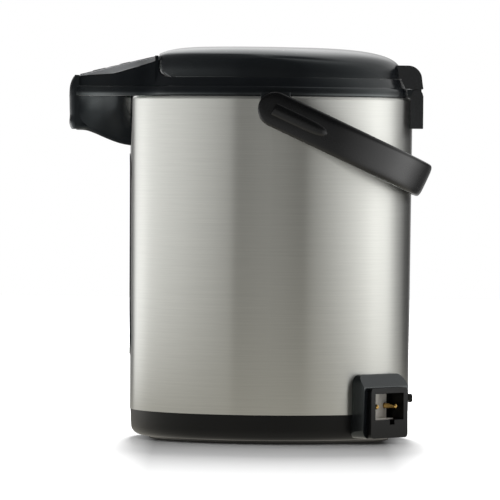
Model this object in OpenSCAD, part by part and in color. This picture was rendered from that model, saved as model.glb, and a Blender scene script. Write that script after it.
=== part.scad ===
// Electric thermo pot: a steel-clad boiler of about four litres with a pump, a front spout under a
// sloping control panel, a hinged lid, a swinging bail handle and a turntable foot.
// The front (spout) faces -Y, the hinge faces +Y, and the origin is on the pot's axis at table level.

/* [Steel shell] */
// Radius of the steel shell at its upper edge
shell_r_top = 107.2; // [96:0.2:118]
// How much the shell narrows towards its lower edge
shell_taper = 1.3; // [0:0.1:2.5]
// Height of the steel shell
shell_h = 237; // [200:1:300]
// Thickness of the steel sheet
sheet_t = 0.8; // [0.6:0.1:1.2]
// Radius of the rolled upper edge
shell_edge_r = 2.5; // [1.6:0.1:3.5]
// Width of the flange that is turned in at the top
shell_lip = 9; // [7:0.5:10]

/* [Base] */
// Visible height of the base moulding
base_h = 19.5; // [17:0.5:26]
// Wall of the plastic mouldings
wall = 2.4; // [1.8:0.1:3]
// Radius of the rounded lower edge
base_corner_r = 7.5; // [5:0.5:9]
// Height of the gap between the table and the base moulding
foot_gap = 2.5; // [2:0.1:3]
// How far the turntable's edge lies inside the shell's lower edge
turntable_inset = 13.4; // [12.8:0.1:20]
// Thickness of the turntable
turntable_t = 3.8; // [3.2:0.1:5]
// Thickness of the non-slip ring under the turntable
grip_ring_t = 1; // [0.6:0.1:1.4]
// Width of the non-slip ring
grip_ring_w = 9; // [6:0.5:12]
// Thickness of the bottom plate
plate_t = 2.4; // [2:0.1:3]
// Radius of the spigot that the turntable swivels on
spigot_r = 12; // [9:0.5:15]

/* [Boiling vessel] */
// How much smaller the vessel's inner radius is than the shell's
vessel_gap = 19.2; // [18.5:0.1:22]
// Height of the vessel's bottom above the table
vessel_z = 62; // [60:1:90]
// Radius of the vessel's lower corner
vessel_corner_r = 14; // [8:1:20]
// How far the edge of the vessel's rim flange lies inside the shell
flange_gap = 5.7; // [5.3:0.1:6.5]
// Height of the band heater
heater_h = 30; // [15:1:45]
// Thickness of the band heater
heater_t = 2; // [1.5:0.1:2.5]

/* [Pump and pipes] */
// Distance of the riser tube's axis from the shell's face
riser_gap = 9.2; // [8.9:0.1:9.6]
// Outer radius of the glass riser tube
riser_r = 4; // [3.5:0.1:4.2]
// Inner radius of the water way
bore_r = 3; // [2.4:0.1:3.2]
// Radius of the pump chamber
pump_r = 19; // [16:0.5:24]
// Inner height of the pump chamber
pump_h = 12; // [10:0.5:14]
// Radius of the pump motor
motor_r = 13; // [10:0.5:16]
// Height of the pump motor
motor_h = 19; // [15:0.5:19.5]
// Height of the strainer over the vessel's outlet
strainer_h = 4.4; // [3.6:0.1:5.2]
// Height of the water pipe's run above the shell's top edge
pipe_rise = 5.7; // [5.5:0.1:6]

/* [Level window] */
// Width of the level window
window_w = 14; // [8:1:20]
// Height of the level window's lower end above the table
window_z = 66; // [58:1:100]
// Height of the level window
window_h = 146; // [80:1:160]
// Width of the frame round the level window
window_frame_w = 3.5; // [2.5:0.5:6]

/* [Top housing] */
// How far the housing's lower edge lies inside the shell's edge
collar_setback = 3.2; // [3:0.1:3.6]
// Height of the housing's ring
collar_h = 14; // [13:0.5:17]
// Height of the convex band at the foot of the ring
collar_band_h = 7.4; // [6:0.2:8.5]
// How far the ring's sloping flank leans in
collar_lean = 4.3; // [3:0.1:5]
// How much smaller the mouth's radius is than the shell's
mouth_inset = 21.2; // [21:0.1:22.5]
// How much wider the mouth is at the seam than at its foot
mouth_flare = 4.5; // [3:0.1:5.5]
// Height of the gasket on the vessel's rim
gasket_h = 1.5; // [1:0.1:1.8]

/* [Nose] */
// Half-width of the nose where it leaves the ring
nose_root_w = 50.5; // [46:0.5:53]
// Half-width of the nose at its tip
nose_tip_w = 16; // [14:0.5:19]
// How far the nose's tip stands out past the shell
nose_reach = 40.8; // [36:0.2:48]
// Height of the control panel's front edge above the shell's top edge
panel_rise = 15.8; // [15:0.1:18]
// Slope of the control panel, in degrees
panel_slope = 13.2; // [11:0.2:14.5]
// Inset of the panel's edge from the nose's flank
panel_inset = 5; // [4:0.2:6]
// Thickness of the panel's fascia
fascia_t = 1.6; // [1.2:0.1:2]
// Projection of the front plate past the nose's tip
plate_reach = 5.6; // [4.5:0.1:7]
// Depth of the front plate below the shell's top edge
plate_drop = 25.4; // [22:0.1:30]
// Depth of the beak's underside at the shell, below the shell's top edge
beak_drop = 36.8; // [33:0.2:42]
// Half-width of the beak where it leaves the shell
beak_root_w = 21; // [16:0.5:26]
// How far the spout's axis lies behind the nose's tip
spout_setback = 4.5; // [3.5:0.1:6]

/* [Lid] */
// Height of the lid's dome
lid_h = 23.4; // [20:0.2:28]
// How far the lid's flat front lies behind the foot of the mouth
lid_front_step = 1; // [0.6:0.1:2]
// Wall of the lid's cover
lid_wall = 2.4; // [1.8:0.1:2.8]
// Depth of the plug that drops into the mouth
plug_h = 14.2; // [12:0.2:16]
// Clearance between the plug and the mouth
plug_gap = 4; // [3.5:0.1:5]
// Length of the release lever
lever_len = 38; // [30:1:44]
// Width of the release lever
lever_w = 44; // [34:1:52]
// How far the lever's front edge lies behind the lid's flat front
lever_setback = 9.4; // [7:0.2:13]
// How far the lever's top lies below the dome
lever_sink = 0.3; // [0:0.1:0.8]
// Width of the lid's catch
catch_w = 16; // [12:1:30]
// Length of the lid's catch
catch_len = 28; // [22:1:34]
// Radius of the steam vent's cap
vent_r = 13; // [10:0.5:18]

/* [Lid hinge] */
// Half-width of the hinge block
hinge_w = 23; // [20:0.5:24]
// How far the hinge's axis stands out past the shell
hinge_reach = 2.7; // [2.4:0.1:3.2]
// Height of the hinge's axis above the shell's top edge
hinge_rise = 2; // [1.6:0.1:2.6]
// Radius of the hinge pin
hinge_pin_r = 1.8; // [1.4:0.1:2.2]
// Length of the hinge block down the shell
hinge_drop = 23; // [16:0.5:30]
// Half-width of the lid's knuckle
knuckle_w = 14; // [9:0.5:16]

/* [Bail handle] */
// Distance of the bail's pivot behind the pot's axis
bail_y = 2.5; // [0:0.5:4]
// Depth of the bail's pivot below the shell's top edge
bail_drop = 10; // [9:0.5:12]
// Width of the bail's band
bail_w = 26.3; // [22:0.1:28]
// How much further the bail reaches than the shell's radius
bail_stand = 19.8; // [18:0.2:26]
// Gap between the bail's arms and the lugs that carry them
bail_gap = 0.7; // [0.6:0.1:1]
// Thickness of the grip
grip_t = 9.5; // [8:0.5:10]
// Thickness of the arms
arm_t = 8; // [6:0.5:10]
// Angle of the resting bail below level, in degrees
bail_rest = 24.8; // [22:0.2:27]
// Radius of the bail's pivot pins
bail_pin_r = 3; // [2.5:0.1:4]

/* [Power inlet] */
// Direction of the inlet round the pot, in degrees from +X towards +Y
inlet_az = 50; // [40:1:60]
// How far the inlet's face stands out past the shell
inlet_proud = 11.7; // [10:0.2:13]
// Half-width of the inlet's housing
inlet_w = 21.8; // [20:0.2:24]
// Height of the housing's top above the table
inlet_z = 42; // [40:0.5:46]
// Depth of the socket
socket_d = 14.6; // [12:0.2:15]
// Half-width of the socket
socket_w = 16.8; // [15:0.2:18]
// Height of the socket's mouth
socket_h = 20; // [16:0.5:21]
// Half of the distance between the contact pins
contact_x = 11; // [9:0.5:12]
// Radius of the contact pins
contact_r = 1.9; // [1.5:0.1:2.4]

/* [Fits] */
// Running clearance round pins and spigots
run_gap = 0.06; // [0.03:0.01:0.09]
// Gap between bodies that move past each other
move_gap = 0.3; // [0.3:0.05:0.4]
// Gap where one fixed piece seats against another's curve
seat_gap = 0.12; // [0.05:0.01:0.2]
// Travel of the buttons
button_travel = 0.8; // [0.5:0.1:0.9]

/* [Hidden] */
$fn = 64;

BLACK = "#1c1d1f";
STEEL = "#b9b7b2";

// Levels along Z
floor_z = grip_ring_t + turntable_t + move_gap + plate_t;
base_top_z = foot_gap + base_h;
rim_z = base_top_z + shell_h;
seam_z = rim_z + collar_h;
hinge_z = rim_z + hinge_rise;
bail_z = rim_z - bail_drop;

// Radii and distances that follow from the shell
shell_r_bottom = shell_r_top - shell_taper;
turntable_r = shell_r_bottom - turntable_inset;
vessel_r = shell_r_top - vessel_gap;
vessel_flange_r = shell_r_top - flange_gap;
riser_y = shell_r_top - riser_gap;
mouth_r = shell_r_top - mouth_inset;
nose_len = shell_r_top + nose_reach;
spout_y = nose_len - spout_setback;
lid_front_y = mouth_r - lid_front_step;
lever_front_y = lid_front_y - lever_setback;
hinge_y = shell_r_top + hinge_reach;
bail_reach = shell_r_top + bail_stand;
inlet_n = shell_r_bottom + inlet_proud;
base_r = shell_r_bottom - 0.5;
base_draft = 0.6;
recess_r = base_r - base_draft - base_corner_r - 2;
base_flange_r = recess_r - 16;
collar_r = shell_r_top - collar_setback;
collar_top_r = collar_r - collar_lean;
lid_r = collar_top_r - 1.2;
plug_r = mouth_r - plug_gap;
vessel_outer_r = vessel_r + sheet_t;

// Points of an arc round [cx, cy]
function arc(cx, cy, r, a0, a1, n = 8) =
    [for (i = [0:n]) let (a = a0 + (a1 - a0) * i / n) [cx + r * cos(a), cy + r * sin(a)]];

// Signed power, which shapes superellipses
function spow(v, p) = sign(v) * pow(abs(v), p);

// Radius of the shell at height z
function shell_r(z) = shell_r_bottom + (shell_r_top - shell_r_bottom) * (z - base_top_z) / shell_h;

// Carries a (y, z) outline across X
module across(w) rotate([90, 0, 90]) linear_extrude(w, center = true) children();

// A rectangle with round corners
module round_rect(w, h, r) {
    square([w - 2 * r, h], center = true);
    square([w, h - 2 * r], center = true);
    for (x = [-1, 1], y = [-1, 1]) translate([x * (w / 2 - r), y * (h / 2 - r)]) circle(r);
}

// ---------------------------------------------------------------- steel shell and base

// Everything inside the pot's outer wall, grown by gap, for pieces that hug the wall
module wall_envelope(gap) {
    rotate_extrude() polygon(concat(
        [[0, foot_gap - gap]],
        arc(base_r - base_draft - base_corner_r, foot_gap + base_corner_r,
            base_corner_r + gap, -90, 0),
        [[base_r + gap, base_top_z], [shell_r_bottom + gap, base_top_z],
         [shell_r_top + gap, rim_z + 1], [0, rim_z + 1]]));
}

// Places a child on the power inlet: +X runs out of the pot, +Y across the inlet
module at_inlet() rotate([0, 0, inlet_az]) children();

inlet_z0 = foot_gap + 2;
neck_w = inlet_w - 1.3;
neck_z0 = floor_z + plate_t + 3;
neck_z1 = inlet_z - 2;
neck_n0 = inlet_n - socket_d - 10;

// The inlet's neck, which passes through the wall, grown by gap
module inlet_neck(gap) {
    at_inlet() translate([neck_n0, -neck_w - gap, neck_z0 - gap])
        cube([inlet_n - neck_n0 - 3, 2 * (neck_w + gap), neck_z1 - neck_z0 + 2 * gap]);
}

// The level window's outline on the front of the shell, grown by gap
module window_outline(gap) {
    translate([0, window_z + window_w / 2]) circle(window_w / 2 + gap);
    translate([0, window_z + window_h - window_w / 2]) circle(window_w / 2 + gap);
    translate([-window_w / 2 - gap, window_z + window_w / 2])
        square([window_w + 2 * gap, window_h - window_w]);
}

// The window's outline as a block through the front wall
module window_block(gap) {
    translate([0, -riser_y - riser_r - 1, 0]) rotate([90, 0, 0])
        linear_extrude(2 * collar_setback + 10) window_outline(gap);
}

// The way that the water pipe takes up through the rim and down to the spout, grown by gap
module pipe_way(gap) {
    translate([0, -riser_y, rim_z - 12]) cylinder(r = pipe_r + gap, h = pipe_rise + 12);
    translate([0, -riser_y, rim_z + pipe_rise]) sphere(pipe_r + gap);
    translate([0, -riser_y, rim_z + pipe_rise]) rotate([90, 0, 0])
        cylinder(r = pipe_r + gap, h = spout_y - riser_y);
    translate([0, -spout_y, rim_z + pipe_rise]) sphere(pipe_r + gap);
    translate([0, -spout_y, spout_z]) cylinder(r = pipe_r + gap, h = rim_z + pipe_rise - spout_z);
}

bumper_r = 3.3;
bumper_z = 31.3;

module outer_shell() color(STEEL) difference() {
    rotate_extrude() polygon(concat(
        [[shell_r_bottom, base_top_z]],
        arc(shell_r_top - shell_edge_r, rim_z - shell_edge_r, shell_edge_r, 0, 90),
        [[shell_r_top - shell_lip, rim_z], [shell_r_top - shell_lip, rim_z - sheet_t]],
        arc(shell_r_top - shell_edge_r, rim_z - shell_edge_r, shell_edge_r - sheet_t, 90, 0),
        [[shell_r_bottom - sheet_t, base_top_z]]));
    inlet_neck(seat_gap);
    window_block(seat_gap);
    pipe_way(0.4);
    translate([0, 0, bumper_z]) rotate([-90, 0, 0]) cylinder(r = bumper_r / 2, h = shell_r_top + 1);
}

upstand_h = 6;

module base_moulding() color(BLACK) difference() {
    rotate_extrude() polygon(concat(
        [[base_flange_r, floor_z], [recess_r, floor_z], [recess_r, foot_gap]],
        arc(base_r - base_draft - base_corner_r, foot_gap + base_corner_r, base_corner_r, -90, 0),
        [[base_r, base_top_z],
         [shell_r_bottom - sheet_t - seat_gap, base_top_z],
         [shell_r_bottom - sheet_t - seat_gap, base_top_z + upstand_h],
         [shell_r_bottom - sheet_t - wall, base_top_z + upstand_h],
         [shell_r_bottom - sheet_t - wall, base_top_z - 2],
         [recess_r + wall, floor_z + plate_t],
         [base_flange_r, floor_z + plate_t]]));
    inlet_neck(seat_gap);
    at_screws() cylinder(r = screw_r, h = floor_z + plate_t + 1);
}

screw_r = 1.5;
screw_head_r = 3.2;
screw_head_h = 1.4;

// The places of the four screws that hold the bottom plate
module at_screws() for (i = [0:3]) rotate([0, 0, 20 + 90 * i])
    translate([(base_flange_r + recess_r) / 2, 0, 0]) children();

screw_z = floor_z - plate_t;

module base_screws() color("silver") at_screws() {
    translate([0, 0, screw_z]) cylinder(r = screw_head_r, h = screw_head_h);
    translate([0, 0, screw_z]) cylinder(r = screw_r, h = 2 * plate_t);
}

spigot_z = grip_ring_t + 2.2;
bolt_r = 2;

module bottom_plate() color(BLACK) difference() {
    union() {
        translate([0, 0, screw_z]) cylinder(r = recess_r - move_gap, h = plate_t);
        translate([0, 0, spigot_z]) cylinder(r = spigot_r, h = floor_z + 4 - spigot_z);
        for (p = board_posts) translate([p[0], p[1], floor_z])
            cylinder(r = post_r, h = board_z - floor_z);
        translate([pump_x, pump_y, floor_z]) cylinder(r = motor_r + 4, h = 3);
    }
    translate([pump_x, pump_y, floor_z]) cylinder(r = motor_r + seat_gap, h = 4);
    translate([0, 0, spigot_z - 1]) cylinder(r = bolt_r, h = floor_z + 3 - spigot_z);
    at_screws() translate([0, 0, screw_z - 1]) cylinder(r = screw_r, h = plate_t + 2);
    at_screws() translate([0, 0, screw_z - 1]) cylinder(r = screw_head_r + 0.2, h = 1 + screw_head_h);
}

counterbore_r = spigot_r + 3;
web_z = spigot_z + move_gap;

module turntable() color(BLACK) difference() {
    rotate_extrude() polygon([
        [spigot_r + run_gap, web_z], [counterbore_r, web_z], [counterbore_r, grip_ring_t],
        [counterbore_r + wall, grip_ring_t], [counterbore_r + wall, web_z],
        [turntable_r - grip_ring_w - wall, web_z], [turntable_r - grip_ring_w - wall, grip_ring_t],
        [turntable_r - 1, grip_ring_t], [turntable_r, grip_ring_t + 1],
        [turntable_r, grip_ring_t + turntable_t], [spigot_r + run_gap, grip_ring_t + turntable_t]]);
}

module grip_ring() color("#2a2a2a") difference() {
    cylinder(r = turntable_r - 1.5, h = grip_ring_t);
    translate([0, 0, -1]) cylinder(r = turntable_r - 1.5 - grip_ring_w, h = grip_ring_t + 2);
}

module turntable_screw() color("silver") {
    translate([0, 0, spigot_z - 1.6]) cylinder(r = spigot_r + 2, h = 1.6);
    translate([0, 0, spigot_z - 1.6]) cylinder(r = bolt_r, h = floor_z + 2 - spigot_z);
}

module rear_bumper() color("#2a2a2a") difference() {
    union() {
        translate([0, shell_r(bumper_z) - 5, bumper_z]) rotate([-90, 0, 0])
            cylinder(r = bumper_r / 2, h = 6);
        translate([0, shell_r(bumper_z) - 0.8, bumper_z]) rotate([-90, 0, 0])
            cylinder(r = bumper_r, h = 3.2);
        translate([0, shell_r(bumper_z) + 2.4, bumper_z]) rotate([-90, 0, 0])
            cylinder(r1 = bumper_r, r2 = bumper_r - 1, h = 0.9);
        translate([0, shell_r(bumper_z) - sheet_t - 2.2, bumper_z]) rotate([-90, 0, 0])
            cylinder(r = bumper_r, h = 1.2);
    }
    difference() {
        translate([0, shell_r(bumper_z) - 2.4, bumper_z]) cube([12, 5, 12], center = true);
        translate([0, 0, bumper_z]) rotate([-90, 0, 0]) cylinder(r = bumper_r / 2, h = 2 * shell_r_top);
        wall_envelope(-sheet_t - seat_gap);
    }
}

// ---------------------------------------------------------------- vessel, heater and pump

pump_x = -11;
pump_y = -40;
pump_z = floor_z + motor_h;
pump_wall = 2;
spigot_len = 7;
outlet_z = pump_z + pump_wall + pump_h / 2;

module inner_vessel() color("#8d8f92") difference() {
    union() {
        rotate_extrude() polygon(concat(
            [[0, vessel_z]],
            arc(vessel_outer_r - vessel_corner_r, vessel_z + vessel_corner_r,
                vessel_corner_r, -90, 0),
            [[vessel_outer_r, rim_z], [vessel_flange_r, rim_z], [vessel_flange_r, rim_z + sheet_t],
             [vessel_r, rim_z + sheet_t]],
            arc(vessel_outer_r - vessel_corner_r, vessel_z + vessel_corner_r,
                vessel_corner_r - sheet_t, 0, -90),
            [[0, vessel_z + sheet_t]]));
        translate([pump_x, pump_y, vessel_z - spigot_len]) cylinder(r = hose_r, h = spigot_len + 0.4);
    }
    translate([pump_x, pump_y, vessel_z - spigot_len - 1]) cylinder(r = hose_r - 1.5, h = spigot_len + 4);
    pipe_way(0.4);
}

hose_r = 6;
hose_wall = 2;
slot_w = 1.2;

// The slotted cap that keeps scale out of the pump, pushed into the vessel's outlet
module outlet_strainer() color("#c8c8c6") translate([pump_x, pump_y, vessel_z + sheet_t]) difference() {
    union() {
        cylinder(r = hose_r + 3, h = strainer_h);
        translate([0, 0, -sheet_t - 3]) cylinder(r = hose_r - 1.5 - seat_gap / 2, h = 5);
    }
    translate([0, 0, -sheet_t - 4]) cylinder(r = hose_r - 2.4, h = strainer_h + sheet_t + 3);
    translate([0, 0, 1]) cylinder(r = hose_r + 2, h = strainer_h - 2);
    for (i = [-2:2]) translate([(2 * i - 0.5) * slot_w, -hose_r, 1]) cube([slot_w, 2 * hose_r, strainer_h]);
}

module suction_hose() color("#c9c4b8") translate([pump_x, pump_y, 0]) difference() {
    translate([0, 0, pump_z + pump_h + 2 * pump_wall + 0.5])
        cylinder(r = hose_r + hose_wall, h = vessel_z - pump_z - pump_h - 2 * pump_wall - 2);
    translate([0, 0, pump_z]) cylinder(r = hose_r + 0.05, h = vessel_z - pump_z);
}

module vessel_gasket() color("#d8d4cc") translate([0, 0, rim_z + sheet_t]) difference() {
    cylinder(r = riser_y - pipe_r - 0.8, h = gasket_h);
    translate([0, 0, -1]) cylinder(r = vessel_outer_r, h = gasket_h + 2);
}

module band_heater() color("#9a948a") {
    translate([0, 0, vessel_z + vessel_corner_r]) difference() {
        cylinder(r = vessel_outer_r + 0.1 + heater_t, h = heater_h);
        translate([0, 0, -1]) cylinder(r = vessel_outer_r + 0.1, h = heater_h + 2);
    }
    for (s = [-1, 1]) translate([s * 12, vessel_outer_r + heater_t - 1.2, vessel_z + vessel_corner_r + heater_h / 2])
        rotate([-90, 0, 0]) cylinder(r = 2, h = 6);
}

module thermostats() color("#e5dfd2") for (p = [[38, 8], [38, -20], [10, 30]])
    translate([p[0], p[1], vessel_z - 8]) {
        cylinder(r = 8, h = 8);
        translate([0, 0, -4]) for (s = [-1, 1]) translate([s * 4, 0, 2]) cube([1, 6, 8], center = true);
    }

module pump_motor() color("#a9adb2") translate([pump_x, pump_y, floor_z]) {
    cylinder(r = motor_r, h = motor_h);
    for (s = [-1, 1]) translate([motor_r - 0.5, s * 4, motor_h / 2]) cube([4, 1, 5], center = true);
}

shaft_r = 1.5;

module pump_housing() color("#e9e6df") difference() {
    union() {
        translate([pump_x, pump_y, pump_z]) cylinder(r = pump_r + pump_wall, h = pump_h + 2 * pump_wall);
        translate([pump_x, pump_y, pump_z + pump_h + pump_wall]) cylinder(r = hose_r, h = 9);
        translate([0, pump_y, outlet_z]) rotate([90, 0, 0]) cylinder(r = riser_r, h = pump_r + 16);
    }
    difference() {
        translate([pump_x, pump_y, pump_z + pump_wall]) cylinder(r = pump_r, h = pump_h);
        translate([pump_x, pump_y, pump_z]) cylinder(r = shaft_r, h = pump_h + pump_wall - 1);
    }
    translate([pump_x, pump_y, pump_z + pump_h]) cylinder(r = hose_r - 1.5, h = 20);
    translate([0, pump_y - 6, outlet_z]) rotate([90, 0, 0]) cylinder(r = bore_r, h = pump_r + 20);
}

impeller_r = pump_r - 1.6;

// A shrouded impeller: a disc with a hub and six swept-back blades
module pump_impeller() color("#3c6ea5") translate([pump_x, pump_y, pump_z + pump_wall + move_gap])
    difference() {
        union() {
            cylinder(r = impeller_r, h = 2.4);
            cylinder(r = shaft_r + 2.5, h = pump_h - 3);
            intersection() {
                cylinder(r = impeller_r, h = pump_h);
                for (i = [0:5]) rotate([0, 0, 60 * i]) translate([0, impeller_r * 0.62, 0])
                    difference() {
                        cylinder(r = impeller_r * 0.62, h = pump_h - 3);
                        translate([0, 0, -1]) cylinder(r = impeller_r * 0.62 - 1.4, h = pump_h);
                        translate([-2 * impeller_r, -2 * impeller_r, -1])
                            cube([2 * impeller_r, 4 * impeller_r, pump_h]);
                    }
            }
        }
        translate([0, 0, -1]) cylinder(r = shaft_r + run_gap, h = pump_h + 2);
    }

elbow_r = riser_r + 1.8;
riser_z0 = outlet_z + 16;

// A rubber elbow from the pump's outlet to the foot of the riser tube
module riser_elbow() color("#c9c4b8") difference() {
    union() {
        translate([0, pump_y - pump_r - 8, outlet_z]) rotate([90, 0, 0])
            cylinder(r = elbow_r, h = riser_y + pump_y - pump_r - 8);
        translate([0, -riser_y, outlet_z]) sphere(elbow_r);
        translate([0, -riser_y, outlet_z]) cylinder(r = elbow_r, h = riser_z0 + 8 - outlet_z);
    }
    translate([0, pump_y - pump_r - 7, outlet_z]) rotate([90, 0, 0]) cylinder(r = riser_r, h = 9);
    translate([0, pump_y - pump_r - 7, outlet_z]) rotate([90, 0, 0])
        cylinder(r = bore_r, h = riser_y + pump_y - pump_r - 7);
    translate([0, -riser_y, outlet_z]) sphere(bore_r);
    translate([0, -riser_y, outlet_z]) cylinder(r = bore_r, h = 40);
    translate([0, -riser_y, riser_z0]) cylinder(r = riser_r, h = 20);
}

pipe_r = riser_r + 1.2;
riser_z1 = rim_z - 6;

module riser_tube() color("#dff2f5", 0.5) translate([0, -riser_y, riser_z0]) difference() {
    cylinder(r = riser_r, h = riser_z1 - riser_z0);
    translate([0, 0, -1]) cylinder(r = bore_r, h = riser_z1 - riser_z0 + 2);
}

spout_r = bore_r + 1;
spout_z = rim_z - plate_drop + 0.6;

// The pipe from the riser over the rim and down to the spout
module spout_pipe() color("#e9e6df") difference() {
    pipe_way(0);
    translate([0, -riser_y, rim_z - 13]) cylinder(r = riser_r, h = riser_z1 - rim_z + 13);
    translate([0, -riser_y, rim_z - 13]) cylinder(r = bore_r, h = pipe_rise + 13);
    translate([0, -riser_y, rim_z + pipe_rise]) sphere(bore_r);
    translate([0, -riser_y, rim_z + pipe_rise]) rotate([90, 0, 0])
        cylinder(r = bore_r, h = spout_y - riser_y);
    translate([0, -spout_y, rim_z + pipe_rise]) sphere(bore_r);
    translate([0, -spout_y, spout_z - 1]) cylinder(r = bore_r, h = rim_z + pipe_rise - spout_z + 1);
    translate([0, -spout_y, spout_z - 1]) cylinder(r = spout_r, h = 13);
}

module level_window() color("#cfe3e6", 0.5) intersection() {
    window_block(0);
    difference() {
        wall_envelope(0.3);
        wall_envelope(-1.6);
    }
}

module window_frame() color(BLACK) intersection() {
    difference() {
        window_block(window_frame_w);
        window_block(seat_gap);
    }
    difference() {
        wall_envelope(0.5);
        wall_envelope(seat_gap);
    }
}

board_z = floor_z + 10;
post_r = 3;
board_x = -68;
board_y = 16;
board_w = 62;
board_l = 48;
board_t = 1.6;
board_posts = [[board_x + 6, board_y + 6], [board_x + board_w - 6, board_y + 6],
               [board_x + 14, board_y + board_l - 15], [board_x + board_w - 6, board_y + board_l - 6]];

module power_board() color("#2f6b3d") {
    difference() {
        translate([board_x, board_y, board_z]) cube([board_w, board_l, board_t]);
        translate([board_x - 3, board_y + board_l, board_z + board_t / 2]) rotate([0, 0, 45])
            cube([board_w / 2, board_w / 3, 2 * board_t], center = true);
    }
    translate([board_x, board_y, board_z + board_t]) {
        translate([8, 12, 0]) cube([24, 20, 18]);
        for (i = [0:2]) translate([board_w - 22, 10 + 13 * i, 0]) cylinder(r = 5, h = 14);
        translate([board_w - 12, 8, 0]) cube([8, board_l - 16, 9]);
    }
}

// ---------------------------------------------------------------- top housing and nose

nose_back_y = lid_front_y + 0.5;
panel_z = rim_z + panel_rise;

// Height of the panel's plane at y
function panel_at(y) = panel_z + (y + nose_len + 1) * tan(panel_slope);

// The nose's flank in plan: a cubic curve from the ring to the tip
nose_root_y = sqrt(collar_r * collar_r - nose_root_w * nose_root_w);
nose_run = nose_len - nose_root_y;
flank = [[nose_root_w, -nose_root_y], [nose_root_w + 1.5, -nose_root_y - 0.44 * nose_run],
         [nose_tip_w + 1, -nose_root_y - 0.667 * nose_run], [nose_tip_w, -nose_len]];
function bez(t) = pow(1 - t, 3) * flank[0] + 3 * t * pow(1 - t, 2) * flank[1]
    + 3 * t * t * (1 - t) * flank[2] + pow(t, 3) * flank[3];
function bez_slope(t) = 3 * pow(1 - t, 2) * (flank[1] - flank[0])
    + 6 * t * (1 - t) * (flank[2] - flank[1]) + 3 * t * t * (flank[3] - flank[2]);
function flank_at(t, d) = let (s = bez_slope(t), n = [-s[1], s[0]] / norm(s)) bez(t) - d * n;
function flank_points(d, n = 14) = [for (i = [0:n]) flank_at(i / n, d)];

// The nose's plan, inset by d, from back_y to the tip
module nose_plan(d, back_y = nose_back_y) {
    right = flank_points(d);
    polygon(concat([[nose_root_w - d, -back_y]], right,
        [for (i = [len(right) - 1:-1:0]) [-right[i][0], right[i][1]]],
        [[-nose_root_w + d, -back_y]]));
}

// A thin slice of the nose at the panel's plane, lowered by drop
module panel_slice(d, drop)
    multmatrix([[1, 0, 0, 0], [0, 1, 0, 0], [0, tan(panel_slope), 1, panel_at(0) - drop - 0.1],
                [0, 0, 0, 1]])
        linear_extrude(0.1) nose_plan(d);

// The nose's solid form: a convex foot band, leaning flanks and the sloping panel, inset by d
module nose_block(d) hull() {
    translate([0, 0, rim_z]) linear_extrude(0.2) nose_plan(0.8 + d);
    translate([0, 0, rim_z + 2.5]) linear_extrude(collar_band_h / 3) nose_plan(d);
    translate([0, 0, rim_z + collar_band_h]) linear_extrude(0.2) nose_plan(1.4 + d);
    panel_slice(panel_inset - 1.2 + d, 1.4);
    panel_slice(panel_inset + d, 0);
}

// The line in (y, z) where the bezel meets the housing: level at the front, then rising
nose_top = nose_len - nose_back_y;
function on_bezel_line(part, depth) = let (y = -nose_len + part * nose_top) [y, panel_at(y) - depth];
bezel_line = [on_bezel_line(-0.1, 0), on_bezel_line(0, 1.6), on_bezel_line(0.2, 3.3),
              on_bezel_line(0.35, 5.1), on_bezel_line(0.5, 6.4), on_bezel_line(0.64, 6),
              on_bezel_line(0.86, 5), on_bezel_line(1.06, 3.4)];

// Everything above the bezel's line, lowered by gap
module above_bezel_line(gap) across(4 * nose_root_w)
    polygon(concat([for (p = bezel_line) [p[0], p[1] - gap]],
        [[bezel_line[7][0], rim_z + nose_len], [bezel_line[0][0], rim_z + nose_len]]));

// Places a child on the panel: +X across, +Y up the slope, +Z out of the panel
module on_panel() translate([0, -nose_len - 1, panel_z]) rotate([panel_slope, 0, 0]) children();

panel_len = (nose_len + 1 - nose_back_y - wall) / cos(panel_slope);

// The nose's plan as it lies on the panel's slope
module panel_plan(d) {
    right = [for (p = flank_points(d)) [p[0], (p[1] + nose_len + 1) / cos(panel_slope)]];
    inside = [for (p = right) if (p[1] < panel_len) p];
    polygon(concat([[nose_root_w - d, panel_len]], inside,
        [for (i = [len(inside) - 1:-1:0]) [-inside[i][0], inside[i][1]]],
        [[-nose_root_w + d, panel_len]]));
}

fascia_top = -0.3;
fascia_inset = panel_inset + 2;

// The pocket that takes the fascia, and the well below it
module fascia_pocket() on_panel() {
    translate([0, 0, fascia_top - fascia_t]) linear_extrude(10) intersection() {
        panel_plan(fascia_inset - seat_gap);
        translate([-nose_len, 3.5]) square([2 * nose_len, 2 * panel_len]);
    }
    translate([0, 0, -14]) linear_extrude(20) panel_well();
}

module panel_well() intersection() {
    panel_plan(fascia_inset + 2);
    translate([-nose_len, 6]) square([2 * nose_len, panel_len - 8.8]);
}

// Sizes and places of the buttons on the panel: x, y, width, height
dispense = [0, 0.294 * panel_len, 18, 10];
unlock = [0, 0.462 * panel_len, 15, 6];
reboil = [-20, 0.62 * panel_len, 11, 8];
select = [20, 0.62 * panel_len, 11, 8];
display = [0, 0.82 * panel_len, 34, 14];
button_flange = 1;

lug_r = 11;
lug_x0 = shell_r_top + move_gap;
lug_x1 = lug_x0 + 3.2;

// Places a child on the bail's pivot on the side s: +Z runs outwards, -X upwards
module at_pivot(s) translate([0, bail_y, bail_z]) mirror([s < 0 ? 1 : 0, 0, 0])
    rotate([0, 90, 0]) children();

// One of the two lugs that carry the bail
module bail_lug() {
    translate([0, 0, lug_x0]) cylinder(r = lug_r, h = lug_x1 - lug_x0);
    translate([-bail_drop - 3, -lug_r, lug_x0]) cube([bail_drop + 3, 2 * lug_r, lug_x1 - lug_x0]);
    translate([-bail_drop - 3, -lug_r, seat_r + 0.2])
        cube([2.9, 2 * lug_r, lug_x1 - seat_r - 0.2]);
}

seat_r = vessel_flange_r + 0.5;
step_z = rim_z + sheet_t + gasket_h;

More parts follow.
